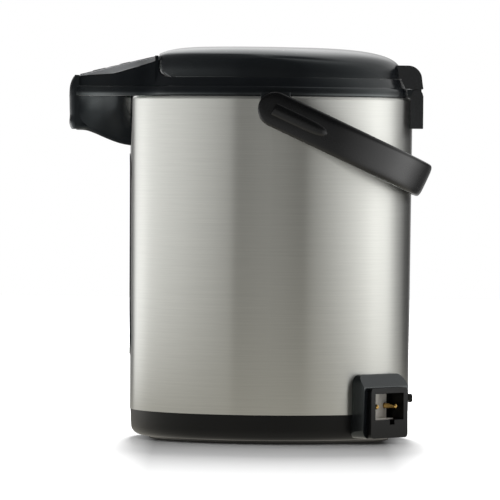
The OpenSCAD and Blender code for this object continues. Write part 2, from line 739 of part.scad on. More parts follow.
module collar_ring(gap = 0) {
    foot = collar_r + gap;
    crease = foot - 1.9;
    polygon([[seat_r, rim_z], [foot, rim_z], [foot + 0.25, rim_z + 2.2], [foot + 0.1, rim_z + 4.2],
        [foot - 0.7, rim_z + collar_band_h - 1], [crease, rim_z + collar_band_h],
        [collar_top_r + gap, seam_z - 0.4], [collar_top_r + gap - 0.4, seam_z],
        [mouth_r + mouth_flare, seam_z], [mouth_r, step_z], [seat_r, step_z]]);
}

// The funnel-shaped mouth
module mouth_cone() translate([0, 0, step_z])
    cylinder(r1 = mouth_r, r2 = mouth_r + mouth_flare, h = seam_z - step_z);

corner_r = 7.6;
corner_x = 36;

// The small fillets where the nose rises from the ring, one on each side of the mouth
module nose_fillets() difference() {
    for (s = [-1, 1]) translate([s * (corner_x + nose_root_w) / 2, 0, 0])
        across(nose_root_w - corner_x) difference() {
            translate([-nose_back_y - 0.1, seam_z - 0.1]) square([corner_r, corner_r]);
            translate([-nose_back_y + corner_r + 0.1, seam_z + corner_r + 0.1]) circle(corner_r);
        }
    difference() {
        cylinder(r = 3 * nose_len, h = 2 * seam_z);
        translate([0, 0, -1]) cylinder(r = collar_top_r - 0.8, h = 2 * seam_z + 2);
    }
}

module collar() color(BLACK) difference() {
    union() {
        rotate_extrude() collar_ring();
        difference() {
            nose_block(0);
            above_bezel_line(0.3);
            mouth_cone();
            translate([0, 0, rim_z - 1]) cylinder(r = seat_r, h = step_z - rim_z + 1);
        }
        nose_fillets();
        for (s = [-1, 1]) at_pivot(s) bail_lug();
    }
    fascia_pocket();
    nose_hollow();
    pipe_way(0.4);
    for (s = [-1, 1]) at_pivot(s) {
        translate([0, 0, shell_r_top - 1]) cylinder(r = bail_pin_r, h = 10);
        translate([0, 0, shell_r_top - 1]) cylinder(r = bail_pin_r + 2, h = lug_x0 - shell_r_top + 2.2);
    }
    front_block(seat_gap);
}

// The hollow inside the nose, open below towards the beak
module nose_hollow() {
    intersection() {
        nose_block(wall);
        translate([-nose_root_w, -nose_len - 1, rim_z + wall])
            cube([2 * nose_root_w, nose_len - collar_r - 0.5, 60]);
        translate([0, 0, -wall]) difference() {
            translate([-nose_root_w, -2 * nose_len, 0])
                cube([2 * nose_root_w, 2 * nose_len, 2 * rim_z]);
            above_bezel_line(0);
        }
    }
    translate([0, 0, rim_z - 1]) linear_extrude(wall + 2) beak_plan(3.5);
}

module bezel() color("#8b8e91") difference() {
    intersection() {
        nose_block(0);
        above_bezel_line(0);
    }
    fascia_pocket();
    front_block(seat_gap);
}

module button_hole(b, gap) translate([b[0], b[1]]) round_rect(b[2] + 2 * gap, b[3] + 2 * gap, 2);

module fascia() color("#101113") on_panel() {
    difference() {
        translate([0, 0, fascia_top - fascia_t]) linear_extrude(fascia_t) difference() {
            intersection() {
                panel_plan(fascia_inset);
                translate([-nose_len, 3.6]) square([2 * nose_len, 2 * panel_len]);
            }
            for (b = [dispense, unlock, reboil, select]) button_hole(b, 0.25);
            button_hole(display, 0.05);
        }
        at_lenses() cylinder(r = lens_r, h = 10, center = true);
    }
    for (p = fascia_posts) translate([p[0], p[1], board_top])
        cylinder(r = 1.8, h = fascia_top - fascia_t - board_top);
}

switch_h = 0.7;
button_foot = fascia_top - fascia_t - 1.3;
board_top = button_foot - button_travel - 0.2 - switch_h;
fascia_posts = [[-29, display[1]], [29, display[1]], [-4, 10.6], [4, 10.6]];
lens_r = 1;

module at_lenses() for (i = [-2:2]) translate([i * 7, panel_len - 2.7, 0]) children();

module display_window() color("#3d4a46") on_panel()
    translate([0, 0, fascia_top - fascia_t]) linear_extrude(fascia_t) button_hole(display, 0);

module indicator_lenses() color("#e07a1f") on_panel() at_lenses()
    translate([0, 0, fascia_top - fascia_t]) cylinder(r = lens_r, h = fascia_t + 0.1);

module control_board() color("#2f6b3d") on_panel() {
    translate([0, 0, board_top - 1.6]) linear_extrude(1.6) intersection() {
        panel_plan(fascia_inset + 3.5);
        translate([-nose_len, 8.6]) square([2 * nose_len, panel_len - 14.4]);
    }
    for (b = [dispense, unlock, reboil, select]) translate([b[0], b[1], board_top])
        cylinder(r = 2, h = switch_h);
}

button_top = 0.2;

module panel_button(b) on_panel() {
    translate([0, 0, fascia_top - fascia_t - 0.2]) linear_extrude(button_top - fascia_top + fascia_t + 0.2)
        button_hole(b, 0);
    translate([0, 0, button_foot]) linear_extrude(1.15) button_hole(b, button_flange);
}

module dispense_button() color("#7c8083") panel_button(dispense);
module unlock_button() color("#7c8083") panel_button(unlock);
module reboil_button() color("#7c8083") panel_button(reboil);
module select_button() color("#7c8083") panel_button(select);

// The beak's plan under the seam: it flares from a narrow root to the nose's flank
module beak_plan(d) intersection() {
    nose_plan(0.6 + d, shell_r_top - 12);
    polygon([[-beak_root_w + d, -shell_r_top + 8], [-beak_root_w + d, -shell_r_top],
        [-nose_root_w + d, -shell_r_top - 20], [-nose_root_w, -2 * nose_len],
        [nose_root_w, -2 * nose_len], [nose_root_w - d, -shell_r_top - 20],
        [beak_root_w - d, -shell_r_top], [beak_root_w - d, -shell_r_top + 8]]);
}

// The beak's underside in (y, z): [distance from the axis, depth below the rim, half-width]
keel = [[shell_r_top - 6, beak_drop, 13], [shell_r_top + 8, beak_drop - 1.8, 16],
        [shell_r_top + 20, beak_drop - 5.8, 18], [nose_len - 8, plate_drop, 17],
        [nose_len, plate_drop, 15]];

module beak_form(d) hull() {
    translate([0, 0, rim_z - 0.5]) linear_extrude(0.3) beak_plan(d);
    for (k = keel) translate([-k[2] + d, -k[0] - 0.5, rim_z - k[1] + d])
        cube([2 * (k[2] - d), 1, 1]);
}

// What the side view leaves of the beak, between the underside and the rim
module beak_side(d) across(4 * nose_root_w)
    polygon(concat([for (k = keel) [-k[0], rim_z - k[1] + d]],
        [[-nose_len, rim_z + 1 - d], [-keel[0][0], rim_z + 1 - d]]));

module beak_cover() color(BLACK) difference() {
    intersection() {
        beak_form(0);
        beak_side(0);
    }
    wall_envelope(seat_gap);
    intersection() {
        beak_form(wall);
        beak_side(wall);
    }
    translate([0, 0, rim_z - 4]) linear_extrude(5) beak_plan(2.6);
    front_block(seat_gap);
    translate([0, -spout_y, spout_z - 2]) cylinder(r = pipe_r + 0.6, h = 2 * plate_drop);
}

nozzle_r = pipe_r + 1.2;
plate_w = nose_tip_w - 0.4;

// The front plate's outline in (y, z), with the guard round the spout at its foot, grown by gap
module front_side(gap) {
    y0 = nose_len;
    polygon(concat(
        [[-y0 + gap, panel_z - 1.2], [-y0 - 1.2, panel_z + gap], [-y0 - 4, panel_z - 3.2],
         [-y0 - plate_reach + 0.7, panel_z - 7], [-y0 - plate_reach, rim_z + 1.2],
         [-y0 - plate_reach + 0.6, rim_z - 4], [-y0 - plate_reach + 1.2, rim_z - plate_drop + 1.5]],
        arc(-y0 - plate_reach + 2.7, rim_z - plate_drop + 1.5, 1.5 + gap, 180, 270, 4),
        [[-y0 + 13.5 + gap, rim_z - plate_drop - gap], [-y0 + 12 + gap, rim_z - 0.83 * plate_drop],
         [-y0 + 4.4 + gap, rim_z - 0.53 * plate_drop], [-y0 + 1 + gap, rim_z - 0.3 * plate_drop],
         [-y0 + gap, rim_z - 3]]));
}

module front_block(gap) intersection() {
    across(2 * (plate_w + gap)) front_side(gap);
    translate([0, 0, rim_z - 2 * plate_drop]) linear_extrude(4 * plate_drop)
        polygon(concat([[plate_w + gap, -nose_len + 16]],
            [for (i = [0:12]) let (a = 90 * i / 12)
                [(plate_w + gap) * spow(cos(a), 0.5),
                 -nose_len + 2 - (plate_reach + 2 + gap) * spow(sin(a), 0.6)]],
            [for (i = [12:-1:0]) let (a = 90 * i / 12)
                [-(plate_w + gap) * spow(cos(a), 0.5),
                 -nose_len + 2 - (plate_reach + 2 + gap) * spow(sin(a), 0.6)]],
            [[-plate_w - gap, -nose_len + 16]]));
}

module front_plate() color(BLACK) difference() {
    front_block(0);
    translate([0, -spout_y, rim_z - 2 * plate_drop]) cylinder(r = nozzle_r, h = 4 * plate_drop);
}

// ---------------------------------------------------------------- power inlet

frame_w = inlet_w + 4.5;
frame_top = inlet_z + 10;

module inlet_frame() color(BLACK) difference() {
    at_inlet() intersection() {
        translate([shell_r_bottom - 20, 0, (frame_top + inlet_z0) / 2]) rotate([90, 0, 90])
            linear_extrude(40) round_rect(2 * frame_w, frame_top - inlet_z0, 6);
        rotate([90, 0, 0]) linear_extrude(3 * frame_w, center = true)
            polygon([[shell_r_bottom - 20, inlet_z0], [inlet_n - 4.2, inlet_z0],
                [inlet_n - 3.4, inlet_z + 1], [inlet_n - 8.5, frame_top - 2],
                [inlet_n - 10, frame_top], [shell_r_bottom - 20, frame_top]]);
    }
    wall_envelope(seat_gap);
    inlet_body(seat_gap);
}

// The inlet's housing as a plain body, grown by gap
module inlet_body(gap) {
    at_inlet() translate([shell_r_bottom - 12, 0, (inlet_z + inlet_z0) / 2]) rotate([90, 0, 90])
        linear_extrude(inlet_n - shell_r_bottom + 12)
            round_rect(2 * (inlet_w + gap), inlet_z - inlet_z0 + 2 * gap, 3);
    inlet_neck(gap);
}

socket_z = inlet_z - 4 - socket_h / 2;

module inlet_housing() color(BLACK) difference() {
    union() {
        difference() {
            inlet_body(0);
            wall_envelope(seat_gap);
        }
        inlet_neck(0);
    }
    at_inlet() translate([inlet_n - socket_d, 0, socket_z]) {
        translate([0, -socket_w, -socket_h / 2]) cube([socket_d + 1, 2 * socket_w, socket_h]);
        translate([socket_d - 6, 0.4, -socket_h / 2 - 3.6]) cube([7, 5.6, 5]);
        for (s = [-1, 1]) translate([-11, s * contact_x, 0]) rotate([0, 90, 0])
            cylinder(r = contact_r, h = 12);
    }
}

keeper_t = 1;
keeper_w = 13;

// The steel plate that the magnetic plug clings to, with a lip along the socket's floor
module keeper_plate() color("#d9d6cf") at_inlet() translate([inlet_n - socket_d, 0, socket_z])
    difference() {
        union() {
            translate([0, -keeper_w, -socket_h / 2]) cube([keeper_t, 2 * keeper_w, socket_h - 1.2]);
            translate([0, -keeper_w, -socket_h / 2]) cube([socket_d - 7, 2 * keeper_w, keeper_t]);
        }
        for (s = [-1, 1]) translate([-1, s * contact_x, 0]) rotate([0, 90, 0])
            cylinder(r = contact_r + 0.4, h = 4);
    }

module contact_pins() color("#c9a24a") at_inlet() for (s = [-1, 1])
    translate([inlet_n - socket_d - 12, s * contact_x, socket_z]) rotate([0, 90, 0]) {
        cylinder(r = contact_r, h = 12 + socket_d - 2 - contact_r);
        translate([0, 0, 10 + socket_d - contact_r]) sphere(contact_r);
        translate([0, 0, -4]) cylinder(r = 0.8, h = 5);
    }

// ---------------------------------------------------------------- lid hinge

ear_r = 4.5;
knuckle_r = 4;
knuckle_z = 5;
block_back = 4.8;

module hinge_block() color(BLACK) difference() {
    union() {
        translate([-hinge_w, collar_r - 6, hinge_z - hinge_drop - hinge_rise])
            cube([2 * hinge_w, hinge_y + block_back - collar_r + 6, hinge_drop + hinge_rise]);
        translate([0, hinge_y, hinge_z]) rotate([0, 90, 0])
            cylinder(r = ear_r, h = 2 * hinge_w, center = true);
    }
    wall_envelope(seat_gap);
    rotate_extrude() polygon([[0, rim_z - 3], [collar_r + 0.4, rim_z - 3], [collar_r + 0.4, rim_z + 4.4],
        [collar_r - 1, rim_z + collar_h], [0, rim_z + collar_h]]);
    translate([-knuckle_w - move_gap, collar_r - 10, hinge_z - ear_r - 0.2])
        cube([2 * (knuckle_w + move_gap), 40, 40]);
    translate([0, hinge_y, hinge_z]) rotate([0, 90, 0])
        cylinder(r = hinge_pin_r, h = 2 * hinge_w - 3, center = true);
}

module hinge_pin() color("silver") translate([0, hinge_y, hinge_z]) rotate([0, 90, 0])
    cylinder(r = hinge_pin_r, h = 2 * hinge_w - 3, center = true);

// ---------------------------------------------------------------- lid

lid_z = seam_z + move_gap + 0.1;
dome_p = 3.3;

// The dome's outline: a superellipse from the rim to the crown, shrunk by d and lifted by lift
function dome(d, lift = 0, n = 18) = [for (i = [0:n]) let (a = 90 * i / n)
    [(lid_r - d) * spow(cos(a), 2 / dome_p), lid_z + lift + (lid_h - d) * spow(sin(a), 2 / dome_p)]];

// Height of the dome's surface at radius r
function dome_z(r) = lid_z + lid_h * pow(1 - pow(r / lid_r, dome_p), 1 / dome_p);

module dome_solid(d, lift = 0) rotate_extrude()
    polygon(concat(dome(d, lift), [[0, lid_z - 10], [lid_r - d, lid_z - 10]]));

// The space behind the lid's flat front
module behind_front(y) translate([-2 * lid_r, -y, -1]) cube([4 * lid_r, 4 * lid_r, 2 * rim_z]);

lever_pivot_y = -lever_front_y + lever_len;
lever_barrel_r = 3;
lever_pivot_z = dome_z(-lever_pivot_y) - lever_sink - lever_barrel_r;
lever_pin_r = 1.5;

// The lever's plan, grown by gap
module lever_plan(gap) {
    translate([0, -lever_front_y + lever_len / 2])
        round_rect(lever_w + 2 * gap, lever_len + 2 * gap, 6);
    translate([-lever_w / 2 - gap, lever_pivot_y - 10])
        square([lever_w + 2 * gap, 10 + lever_barrel_r + gap]);
}

module lid_cover() color(BLACK) difference() {
    intersection() {
        dome_solid(0);
        translate([-2 * lid_r, -lid_front_y, lid_z]) cube([4 * lid_r, 4 * lid_r, 2 * lid_h]);
    }
    difference() {
        intersection() {
            dome_solid(lid_wall);
            behind_front(lid_front_y - lid_wall);
        }
        for (s = [-1, 1]) translate([s * (lever_w / 2 + move_gap + 3), lever_pivot_y, 0])
            translate([-3, -5, lever_pivot_z - 4]) cube([6, 10, 20]);
        translate([0, vent_y, lever_pivot_z - 8]) cylinder(r = vent_r + 2.5, h = 30);
    }
    for (s = [-1, 1]) translate([s * (corner_x + lid_r) / 2, 0, 0]) across(lid_r - corner_x)
        difference() {
            translate([-lid_front_y - 1, lid_z - 1]) square([corner_r + 1, corner_r + 1]);
            translate([-lid_front_y + corner_r, lid_z + corner_r]) circle(corner_r);
        }
    translate([0, 0, lid_z]) linear_extrude(2 * lid_h) lever_plan(move_gap + 0.1);
    translate([0, lever_pivot_y, lever_pivot_z]) rotate([0, 90, 0])
        cylinder(r = lever_pin_r, h = lever_w + 10, center = true);
    translate([0, vent_y, lid_z]) cylinder(r = vent_r - 3, h = 2 * lid_h);
    translate([0, vent_y, dome_z(vent_y) - 5]) cylinder(r = vent_r + seat_gap, h = 2 * lid_h);
    translate([-hinge_w - seat_gap, lid_r - 5, lid_z - 1]) cube([2 * (hinge_w + seat_gap), 20, lid_h]);
}

vent_y = 48;

module steam_vent_cap() color("#26272a") difference() {
    intersection() {
        translate([0, vent_y, dome_z(vent_y) - 5]) cylinder(r = vent_r, h = 20);
        dome_solid(0.2);
    }
    for (i = [-2:2]) translate([i * 4, vent_y, dome_z(vent_y)])
        cube([1.8, 1.4 * vent_r - abs(i) * 3, 20], center = true);
}

floor_t = 2;
catch_h = 3;
catch_z = lid_z - 8;

module lid_base() color(BLACK) difference() {
    union() {
        intersection() {
            translate([0, 0, lid_z]) cylinder(r = lid_r - lid_wall - 1.4, h = floor_t);
            behind_front(lid_front_y - lid_wall - 0.2);
            union() {
                behind_front(lid_front_y - corner_r - 0.4);
                translate([-corner_x + 1, -lid_r, 0]) cube([2 * corner_x - 2, lid_r, 2 * rim_z]);
            }
        }
        difference() {
            translate([0, 0, lid_z - plug_h]) cylinder(r = plug_r, h = plug_h + 0.2);
            translate([0, 0, lid_z - plug_h - 1]) cylinder(r = plug_r - wall, h = plug_h + 1);
        }
        difference() {
            translate([0, vent_y, lid_z - plug_h]) cylinder(r = 8, h = plug_h + dome_z(vent_y) - lid_z - 8);
            translate([0, vent_y, lid_z - plug_h - 1]) cylinder(r = 6, h = 60);
        }
        translate([-catch_w / 2 - wall, -plug_r + 3, catch_z - wall])
            cube([catch_w + 2 * wall, catch_len / 2, lid_z - catch_z + wall + 0.2]);
        hinge_leaf();
    }
    translate([0, vent_y, lid_z - 1]) cylinder(r = 6, h = 30);
    translate([-catch_w / 2 - move_gap, -plug_r - 2, catch_z - move_gap])
        cube([catch_w + 2 * move_gap, catch_len + 10, catch_h + 2 * move_gap]);
}

leaf_top = 22.8;
leaf_r = 10.6;
leaf_back_y = hinge_y + 4.7;

// The lid's half of the hinge: a block on the lid's rim, a leg and the knuckle round the pin
module hinge_leaf() difference() {
    union() {
        intersection() {
            translate([-hinge_w, lid_r - 4.8, hinge_z + knuckle_z])
                cube([2 * hinge_w, leaf_back_y - lid_r + 4.8, leaf_top - knuckle_z]);
            across(2 * hinge_w) polygon(concat(
                [[lid_r - 6, hinge_z + knuckle_z], [leaf_back_y, hinge_z + knuckle_z]],
                arc(leaf_back_y - 1 - leaf_r, hinge_z + leaf_top - leaf_r, leaf_r, 0, 90, 12),
                [[lid_r - 6, hinge_z + leaf_top]]));
        }
        translate([-knuckle_w, hinge_y - 3.6, hinge_z]) cube([2 * knuckle_w, 7.2, knuckle_z + 1]);
        translate([0, hinge_y, hinge_z]) rotate([0, 90, 0])
            cylinder(r = knuckle_r, h = 2 * knuckle_w, center = true);
        intersection() {
            translate([-hinge_w, lid_r - 16, lid_z]) cube([2 * hinge_w, 14, floor_t]);
            cylinder(r = lid_r + 1, h = 2 * rim_z);
        }
    }
    rotate_extrude() polygon([[0, rim_z + 1], [collar_r + 0.8, rim_z + 1],
        [collar_r + 0.8, rim_z + 5], [collar_top_r + 0.6, seam_z], [collar_top_r + 0.6, lid_z],
        [0, lid_z]]);
    translate([0, hinge_y, hinge_z]) rotate([0, 90, 0])
        cylinder(r = hinge_pin_r + run_gap, h = 4 * hinge_w, center = true);
}

plate_r = plug_r - wall - 0.3;

module inner_lid_plate() color("#c8c8c6") difference() {
    rotate_extrude() polygon([[0, lid_z - plug_h + 1], [plate_r - 8, lid_z - plug_h + 1],
        [plate_r - 4, lid_z - plug_h - 1], [plate_r, lid_z - plug_h - 1],
        [plate_r, lid_z - plug_h - 1 + sheet_t], [plate_r - 3.6, lid_z - plug_h - 1 + sheet_t],
        [plate_r - 7.6, lid_z - plug_h + 1 + sheet_t], [0, lid_z - plug_h + 1 + sheet_t]]);
    translate([0, vent_y, lid_z - plug_h]) cylinder(r = 8.1, h = 6);
}

module lid_gasket() color("#d8d4cc") rotate_extrude() polygon([
    [plug_r - wall, lid_z - plug_h], [plug_r - wall, lid_z - plug_h - 1.6],
    [plug_r + 1.4, lid_z - plug_h - 2.2], [plug_r + 2.2, lid_z - plug_h - 1.2],
    [plug_r, lid_z - plug_h]]);

module release_lever() color("#26272a") difference() {
    union() {
        intersection() {
            difference() {
                dome_solid(0, -lever_sink);
                dome_solid(0, -lever_sink - 2.6);
            }
            translate([0, 0, lid_z]) linear_extrude(3 * lid_h) lever_plan(0);
            translate([-lid_r, -2 * lid_r, 0]) cube([2 * lid_r, 2 * lid_r + lever_pivot_y, 2 * rim_z]);
        }
        translate([0, lever_pivot_y, lever_pivot_z]) rotate([0, 90, 0])
            cylinder(r = lever_barrel_r, h = lever_w, center = true);
    }
    translate([0, lever_pivot_y, lever_pivot_z]) rotate([0, 90, 0])
        cylinder(r = lever_pin_r + run_gap, h = 2 * lever_w, center = true);
}

module lever_pin() color("silver") translate([0, lever_pivot_y, lever_pivot_z]) rotate([0, 90, 0])
    cylinder(r = lever_pin_r, h = lever_w + 10, center = true);

// The sliding catch that the lever draws in, with a ramp under its nose
module lid_catch() color("#dcd8cf") difference() {
    intersection() {
        translate([-catch_w / 2, -mouth_r, catch_z]) cube([catch_w, catch_len, catch_h]);
        cylinder(r = plug_r, h = 2 * rim_z);
    }
    translate([0, -plug_r, catch_z]) rotate([45, 0, 0])
        cube([2 * catch_w, 2.6, 2.6], center = true);
}

// ---------------------------------------------------------------- bail handle

bail_in_x = lug_x1 + bail_gap;
bail_out_x = bail_in_x + arm_t;
bail_in_y = bail_reach - grip_t;

// A point on the bail's band: a is the angle round the U, u runs from the inner face to the outer
function bail_point(a, u, v) = let (
        rx = bail_in_x + (bail_out_x - bail_in_x) * u,
        ry = bail_in_y + (bail_reach - bail_in_y) * u,
        e = 0.8)
    [rx * spow(cos(a), e), ry * spow(sin(a), e), v];

// The band's section: a rectangle with well rounded edges
section = [for (i = [0:15]) let (a = 22.5 * i + 11.25) [0.5 + 0.5 * spow(cos(a), 0.5), spow(sin(a), 0.4)]];

// A solid swept round the U between the angles a0 and a1
module bail_sweep(a0, a1, n, u0, u1, half) {
    m = len(section);
    points = [for (i = [0:n], s = section)
        bail_point(a0 + (a1 - a0) * i / n, u0 + (u1 - u0) * s[0], half * s[1])];
    faces = concat(
        [[for (j = [m - 1:-1:0]) j]],
        [for (i = [0:n - 1], j = [0:m - 1]) [i * m + j, i * m + (j + 1) % m, (i + 1) * m + (j + 1) % m]],
        [for (i = [0:n - 1], j = [0:m - 1]) [i * m + j, (i + 1) * m + (j + 1) % m, (i + 1) * m + j]],
        [[for (j = [0:m - 1]) n * m + j]]);
    polyhedron(points, faces, convexity = 4);
}

module bail_handle() color(BLACK) difference() {
    translate([0, bail_y, bail_z]) rotate([-bail_rest, 0, 0]) difference() {
        union() {
            bail_sweep(0.4, 179.6, 48, 0, 1, bail_w / 2);
            bail_sweep(0.6, 17, 8, 0.6, 1.22, 5);
            bail_sweep(163, 179.4, 8, 0.6, 1.22, 5);
            for (s = [-1, 1]) rotate([0, s * 90, 0]) translate([0, 0, bail_in_x]) {
                cylinder(r = bail_w / 2 - 0.8, h = arm_t);
                translate([0, 0, 1]) cylinder(r = bail_w / 2, h = arm_t - 2);
            }
        }
        for (s = [-1, 1]) rotate([0, s * 90, 0])
            cylinder(r = bail_pin_r + run_gap, h = bail_in_x + arm_t - 2);
    }
    wall_envelope(move_gap);
}

module bail_pins() color("silver") translate([0, bail_y, bail_z]) for (s = [-1, 1])
    rotate([0, s * 90, 0]) {
        translate([0, 0, lug_x0]) cylinder(r = bail_pin_r, h = bail_in_x + arm_t - 2.4 - lug_x0);
        translate([0, 0, lug_x0]) cylinder(r = bail_pin_r + 2, h = 1.2);
    }

outer_shell();
base_moulding();
bottom_plate();
base_screws();
turntable();
grip_ring();
turntable_screw();
inner_vessel();
outlet_strainer();
vessel_gasket();
band_heater();
thermostats();
pump_motor();
pump_housing();
pump_impeller();
suction_hose();
riser_elbow();
riser_tube();
spout_pipe();
level_window();
window_frame();
power_board();
collar();
bezel();
fascia();
display_window();
indicator_lenses();
control_board();
dispense_button();
unlock_button();
reboil_button();
select_button();
beak_cover();
front_plate();
inlet_frame();
inlet_housing();
keeper_plate();
contact_pins();
rear_bumper();
hinge_block();
hinge_pin();
lid_cover();
lid_base();
inner_lid_plate();
lid_gasket();
steam_vent_cap();
release_lever();
lever_pin();
lid_catch();
bail_handle();
bail_pins();
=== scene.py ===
import math
import bmesh
import bpy
import numpy as np
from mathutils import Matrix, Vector


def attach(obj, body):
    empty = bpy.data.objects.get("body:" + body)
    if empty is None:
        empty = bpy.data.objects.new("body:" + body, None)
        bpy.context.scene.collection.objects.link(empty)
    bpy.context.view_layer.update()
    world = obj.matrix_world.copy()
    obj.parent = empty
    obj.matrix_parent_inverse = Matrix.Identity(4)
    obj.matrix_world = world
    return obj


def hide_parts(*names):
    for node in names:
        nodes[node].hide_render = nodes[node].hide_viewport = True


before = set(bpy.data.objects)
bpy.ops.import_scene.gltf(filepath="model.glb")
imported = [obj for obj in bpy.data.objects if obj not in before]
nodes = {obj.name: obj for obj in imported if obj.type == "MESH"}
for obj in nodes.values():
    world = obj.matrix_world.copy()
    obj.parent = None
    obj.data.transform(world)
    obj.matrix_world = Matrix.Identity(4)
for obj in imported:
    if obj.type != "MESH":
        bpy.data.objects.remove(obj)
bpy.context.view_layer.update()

# ---- Camera -----------------------------------------------------------------------------------
# A long lens on a tripod, a little above the pot's middle, looks at its right side. It is turned
# a hair about its own axis, as a tripod head often is.
camera_data = bpy.data.cameras.new("side_camera")
camera_data.sensor_width = 36.0
camera_data.lens = 410.0
camera_data.clip_end = 60.0
camera = bpy.data.objects.new("side_camera", camera_data)
bpy.context.scene.collection.objects.link(camera)
camera.location = (4.33, -0.0154, 0.2205)
sight = Vector((0.0, -0.0154, 0.1428)) - camera.location
camera.rotation_euler = sight.to_track_quat("-Z", "Y").to_euler()
camera.rotation_euler.rotate_axis("Z", math.radians(0.52))
bpy.context.scene.camera = camera
bpy.context.scene.view_settings.view_transform = "Standard"


# ---- Studio -----------------------------------------------------------------------------------
# White card lies under the pot, a tall softbox stands on each side, and lamps hang over the pot and
# behind it. Metal sees a room painted by direction, and glass sees the white behind the pot.
def link_chain(tree, *sockets):
    """Joins each pair of sockets: the first to the second, the third to the fourth, and so on."""
    for out, into in zip(sockets[::2], sockets[1::2]):
        tree.links.new(out, into)


def math_node(tree, operation, *values):
    """A Math node whose inputs are numbers or sockets; returns its output."""
    node = tree.nodes.new("ShaderNodeMath")
    node.operation = operation
    for slot_input, value in zip(node.inputs, values):
        if isinstance(value, (int, float)):
            slot_input.default_value = value
        else:
            tree.links.new(value, slot_input)
    return node.outputs[0]


def compass(tree, split):
    """The direction round Z of split's coordinates, as a share of a full turn."""
    turn = math_node(tree, "ARCTAN2", split.outputs["Y"], split.outputs["X"])
    return math_node(tree, "MULTIPLY_ADD", turn, 0.5 / math.pi, 0.5)


world = bpy.data.worlds.new("studio")
bpy.context.scene.world = world
world.use_nodes = True
tree = world.node_tree
tree.nodes.clear()
out = tree.nodes.new("ShaderNodeOutputWorld")
place = tree.nodes.new("ShaderNodeTexCoord")
split = tree.nodes.new("ShaderNodeSeparateXYZ")
tree.links.new(place.outputs["Generated"], split.inputs[0])
turn = compass(tree, split)
# Direction from the camera's side, in degrees towards the hinge, and how bright the room is there
room = [(-180, 0.9), (-168, 0.5), (-161, 0.05), (-154, 0.3), (-146, 1.4), (-132, 1.5), (-118, 1.22),
        (-80, 1.0), (-50, 0.72), (-33, 0.5), (-30, 0.25), (0, 0.33), (28, 0.19), (34, 0.38), (55, 0.8),
        (84, 1.4), (97, 1.7), (112, 1.5), (128, 0.5), (145, 0.06), (162, 0.05), (180, 0.9)]


def by_direction(tree, turn, levels, warmth):
    """A grey that changes with direction: levels holds (angle in degrees, brightness) pairs, and
    warmth is how far its red goes up and its blue down."""
    ramp = tree.nodes.new("ShaderNodeValToRGB")
    stops = ramp.color_ramp.elements
    stops.remove(stops[1])
    for i, (angle, level) in enumerate(levels):
        spot = (angle + 180.0) / 360.0
        stop = stops[0] if i == 0 else stops.new(spot)
        stop.position = spot
        stop.color = (level * (1.0 + 0.4 * warmth), level, level * (1.0 - warmth), 1.0)
    tree.links.new(turn, ramp.inputs[0])
    return ramp.outputs[0]


def fade(tree, value, start, end, low, high):
    """Goes from low to high while value goes from start to end, and stays level beyond."""
    node = tree.nodes.new("ShaderNodeMapRange")
    for name, number in (("From Min", start), ("From Max", end), ("To Min", low), ("To Max", high)):
        node.inputs[name].default_value = number
    tree.links.new(value, node.inputs["Value"])
    return node.outputs[0]


# The white table lights the pot from below its horizon; above it only the rear and the right are bright
angles, levels = np.array(room).T
share = np.interp(angles, [-180, -165, -140, 25, 60, 90, 180], [0.8, 0.4, 0.12, 0.3, 0.3, 0.5, 0.8])
low_ramp, high_ramp = (by_direction(tree, turn, np.stack([angles, levels * part], -1).tolist(), 0.005)
                       for part in (2.0 - share, share))
mix = tree.nodes.new("ShaderNodeMix")
mix.data_type = "RGBA"
link_chain(tree, fade(tree, split.outputs["Z"], -0.09, 0.03, 0.0, 1.0), mix.inputs["Factor"],
           low_ramp, mix.inputs["A"], high_ramp, mix.inputs["B"])
# A pale wall behind the pot rises to half a right angle and runs on round its right rear
wall_levels = [(-180, 0.7), (-166, 1.7), (-148, 0.0), (108, 0.0), (140, 0.7), (180, 0.7)]
wall = by_direction(tree, turn, wall_levels, 0.0)
rise = math_node(tree, "MULTIPLY", fade(tree, split.outputs["Z"], 0.1, 0.26, 0.0, 1.0),
                 fade(tree, split.outputs["Z"], 0.78, 0.88, 1.0, 0.0))
wall_mix = tree.nodes.new("ShaderNodeMix")
wall_mix.data_type, wall_mix.blend_type = "RGBA", "ADD"
link_chain(tree, rise, wall_mix.inputs["Factor"], mix.outputs["Result"], wall_mix.inputs["A"],
           wall, wall_mix.inputs["B"])
room_light = tree.nodes.new("ShaderNodeBackground")
tree.links.new(wall_mix.outputs["Result"], room_light.inputs["Color"])
soft_light = tree.nodes.new("ShaderNodeBackground")
soft_light.inputs["Color"].default_value = (1.0, 1.0, 1.0, 1.0)
soft_light.inputs["Strength"].default_value = 0.14
white = tree.nodes.new("ShaderNodeBackground")
white.inputs["Color"].default_value = (1.0, 1.0, 1.0, 1.0)
rays = tree.nodes.new("ShaderNodeLightPath")
by_gloss = tree.nodes.new("ShaderNodeMixShader")
link_chain(tree, rays.outputs["Is Glossy Ray"], by_gloss.inputs[0],
           soft_light.outputs[0], by_gloss.inputs[1], room_light.outputs[0], by_gloss.inputs[2])
seen = math_node(tree, "MAXIMUM", rays.outputs["Is Camera Ray"], rays.outputs["Is Transmission Ray"])
by_view = tree.nodes.new("ShaderNodeMixShader")
link_chain(tree, seen, by_view.inputs[0], by_gloss.outputs[0], by_view.inputs[1],
           white.outputs[0], by_view.inputs[2], by_view.outputs[0], out.inputs["Surface"])


def lamp(name, place, aim, size, power):
    """An oblong soft lamp of size (width, height) at place, turned to face aim."""
    data = bpy.data.lights.new(name, "AREA")
    data.shape = "RECTANGLE"
    data.size, data.size_y = size
    data.energy = power
    obj = bpy.data.objects.new(name, data)
    bpy.context.scene.collection.objects.link(obj)
    obj.location = place
    obj.rotation_euler = (Vector(aim) - Vector(place)).to_track_quat("-Z", "Y").to_euler()
    obj.visible_camera = False
    obj.visible_glossy = False
    return obj


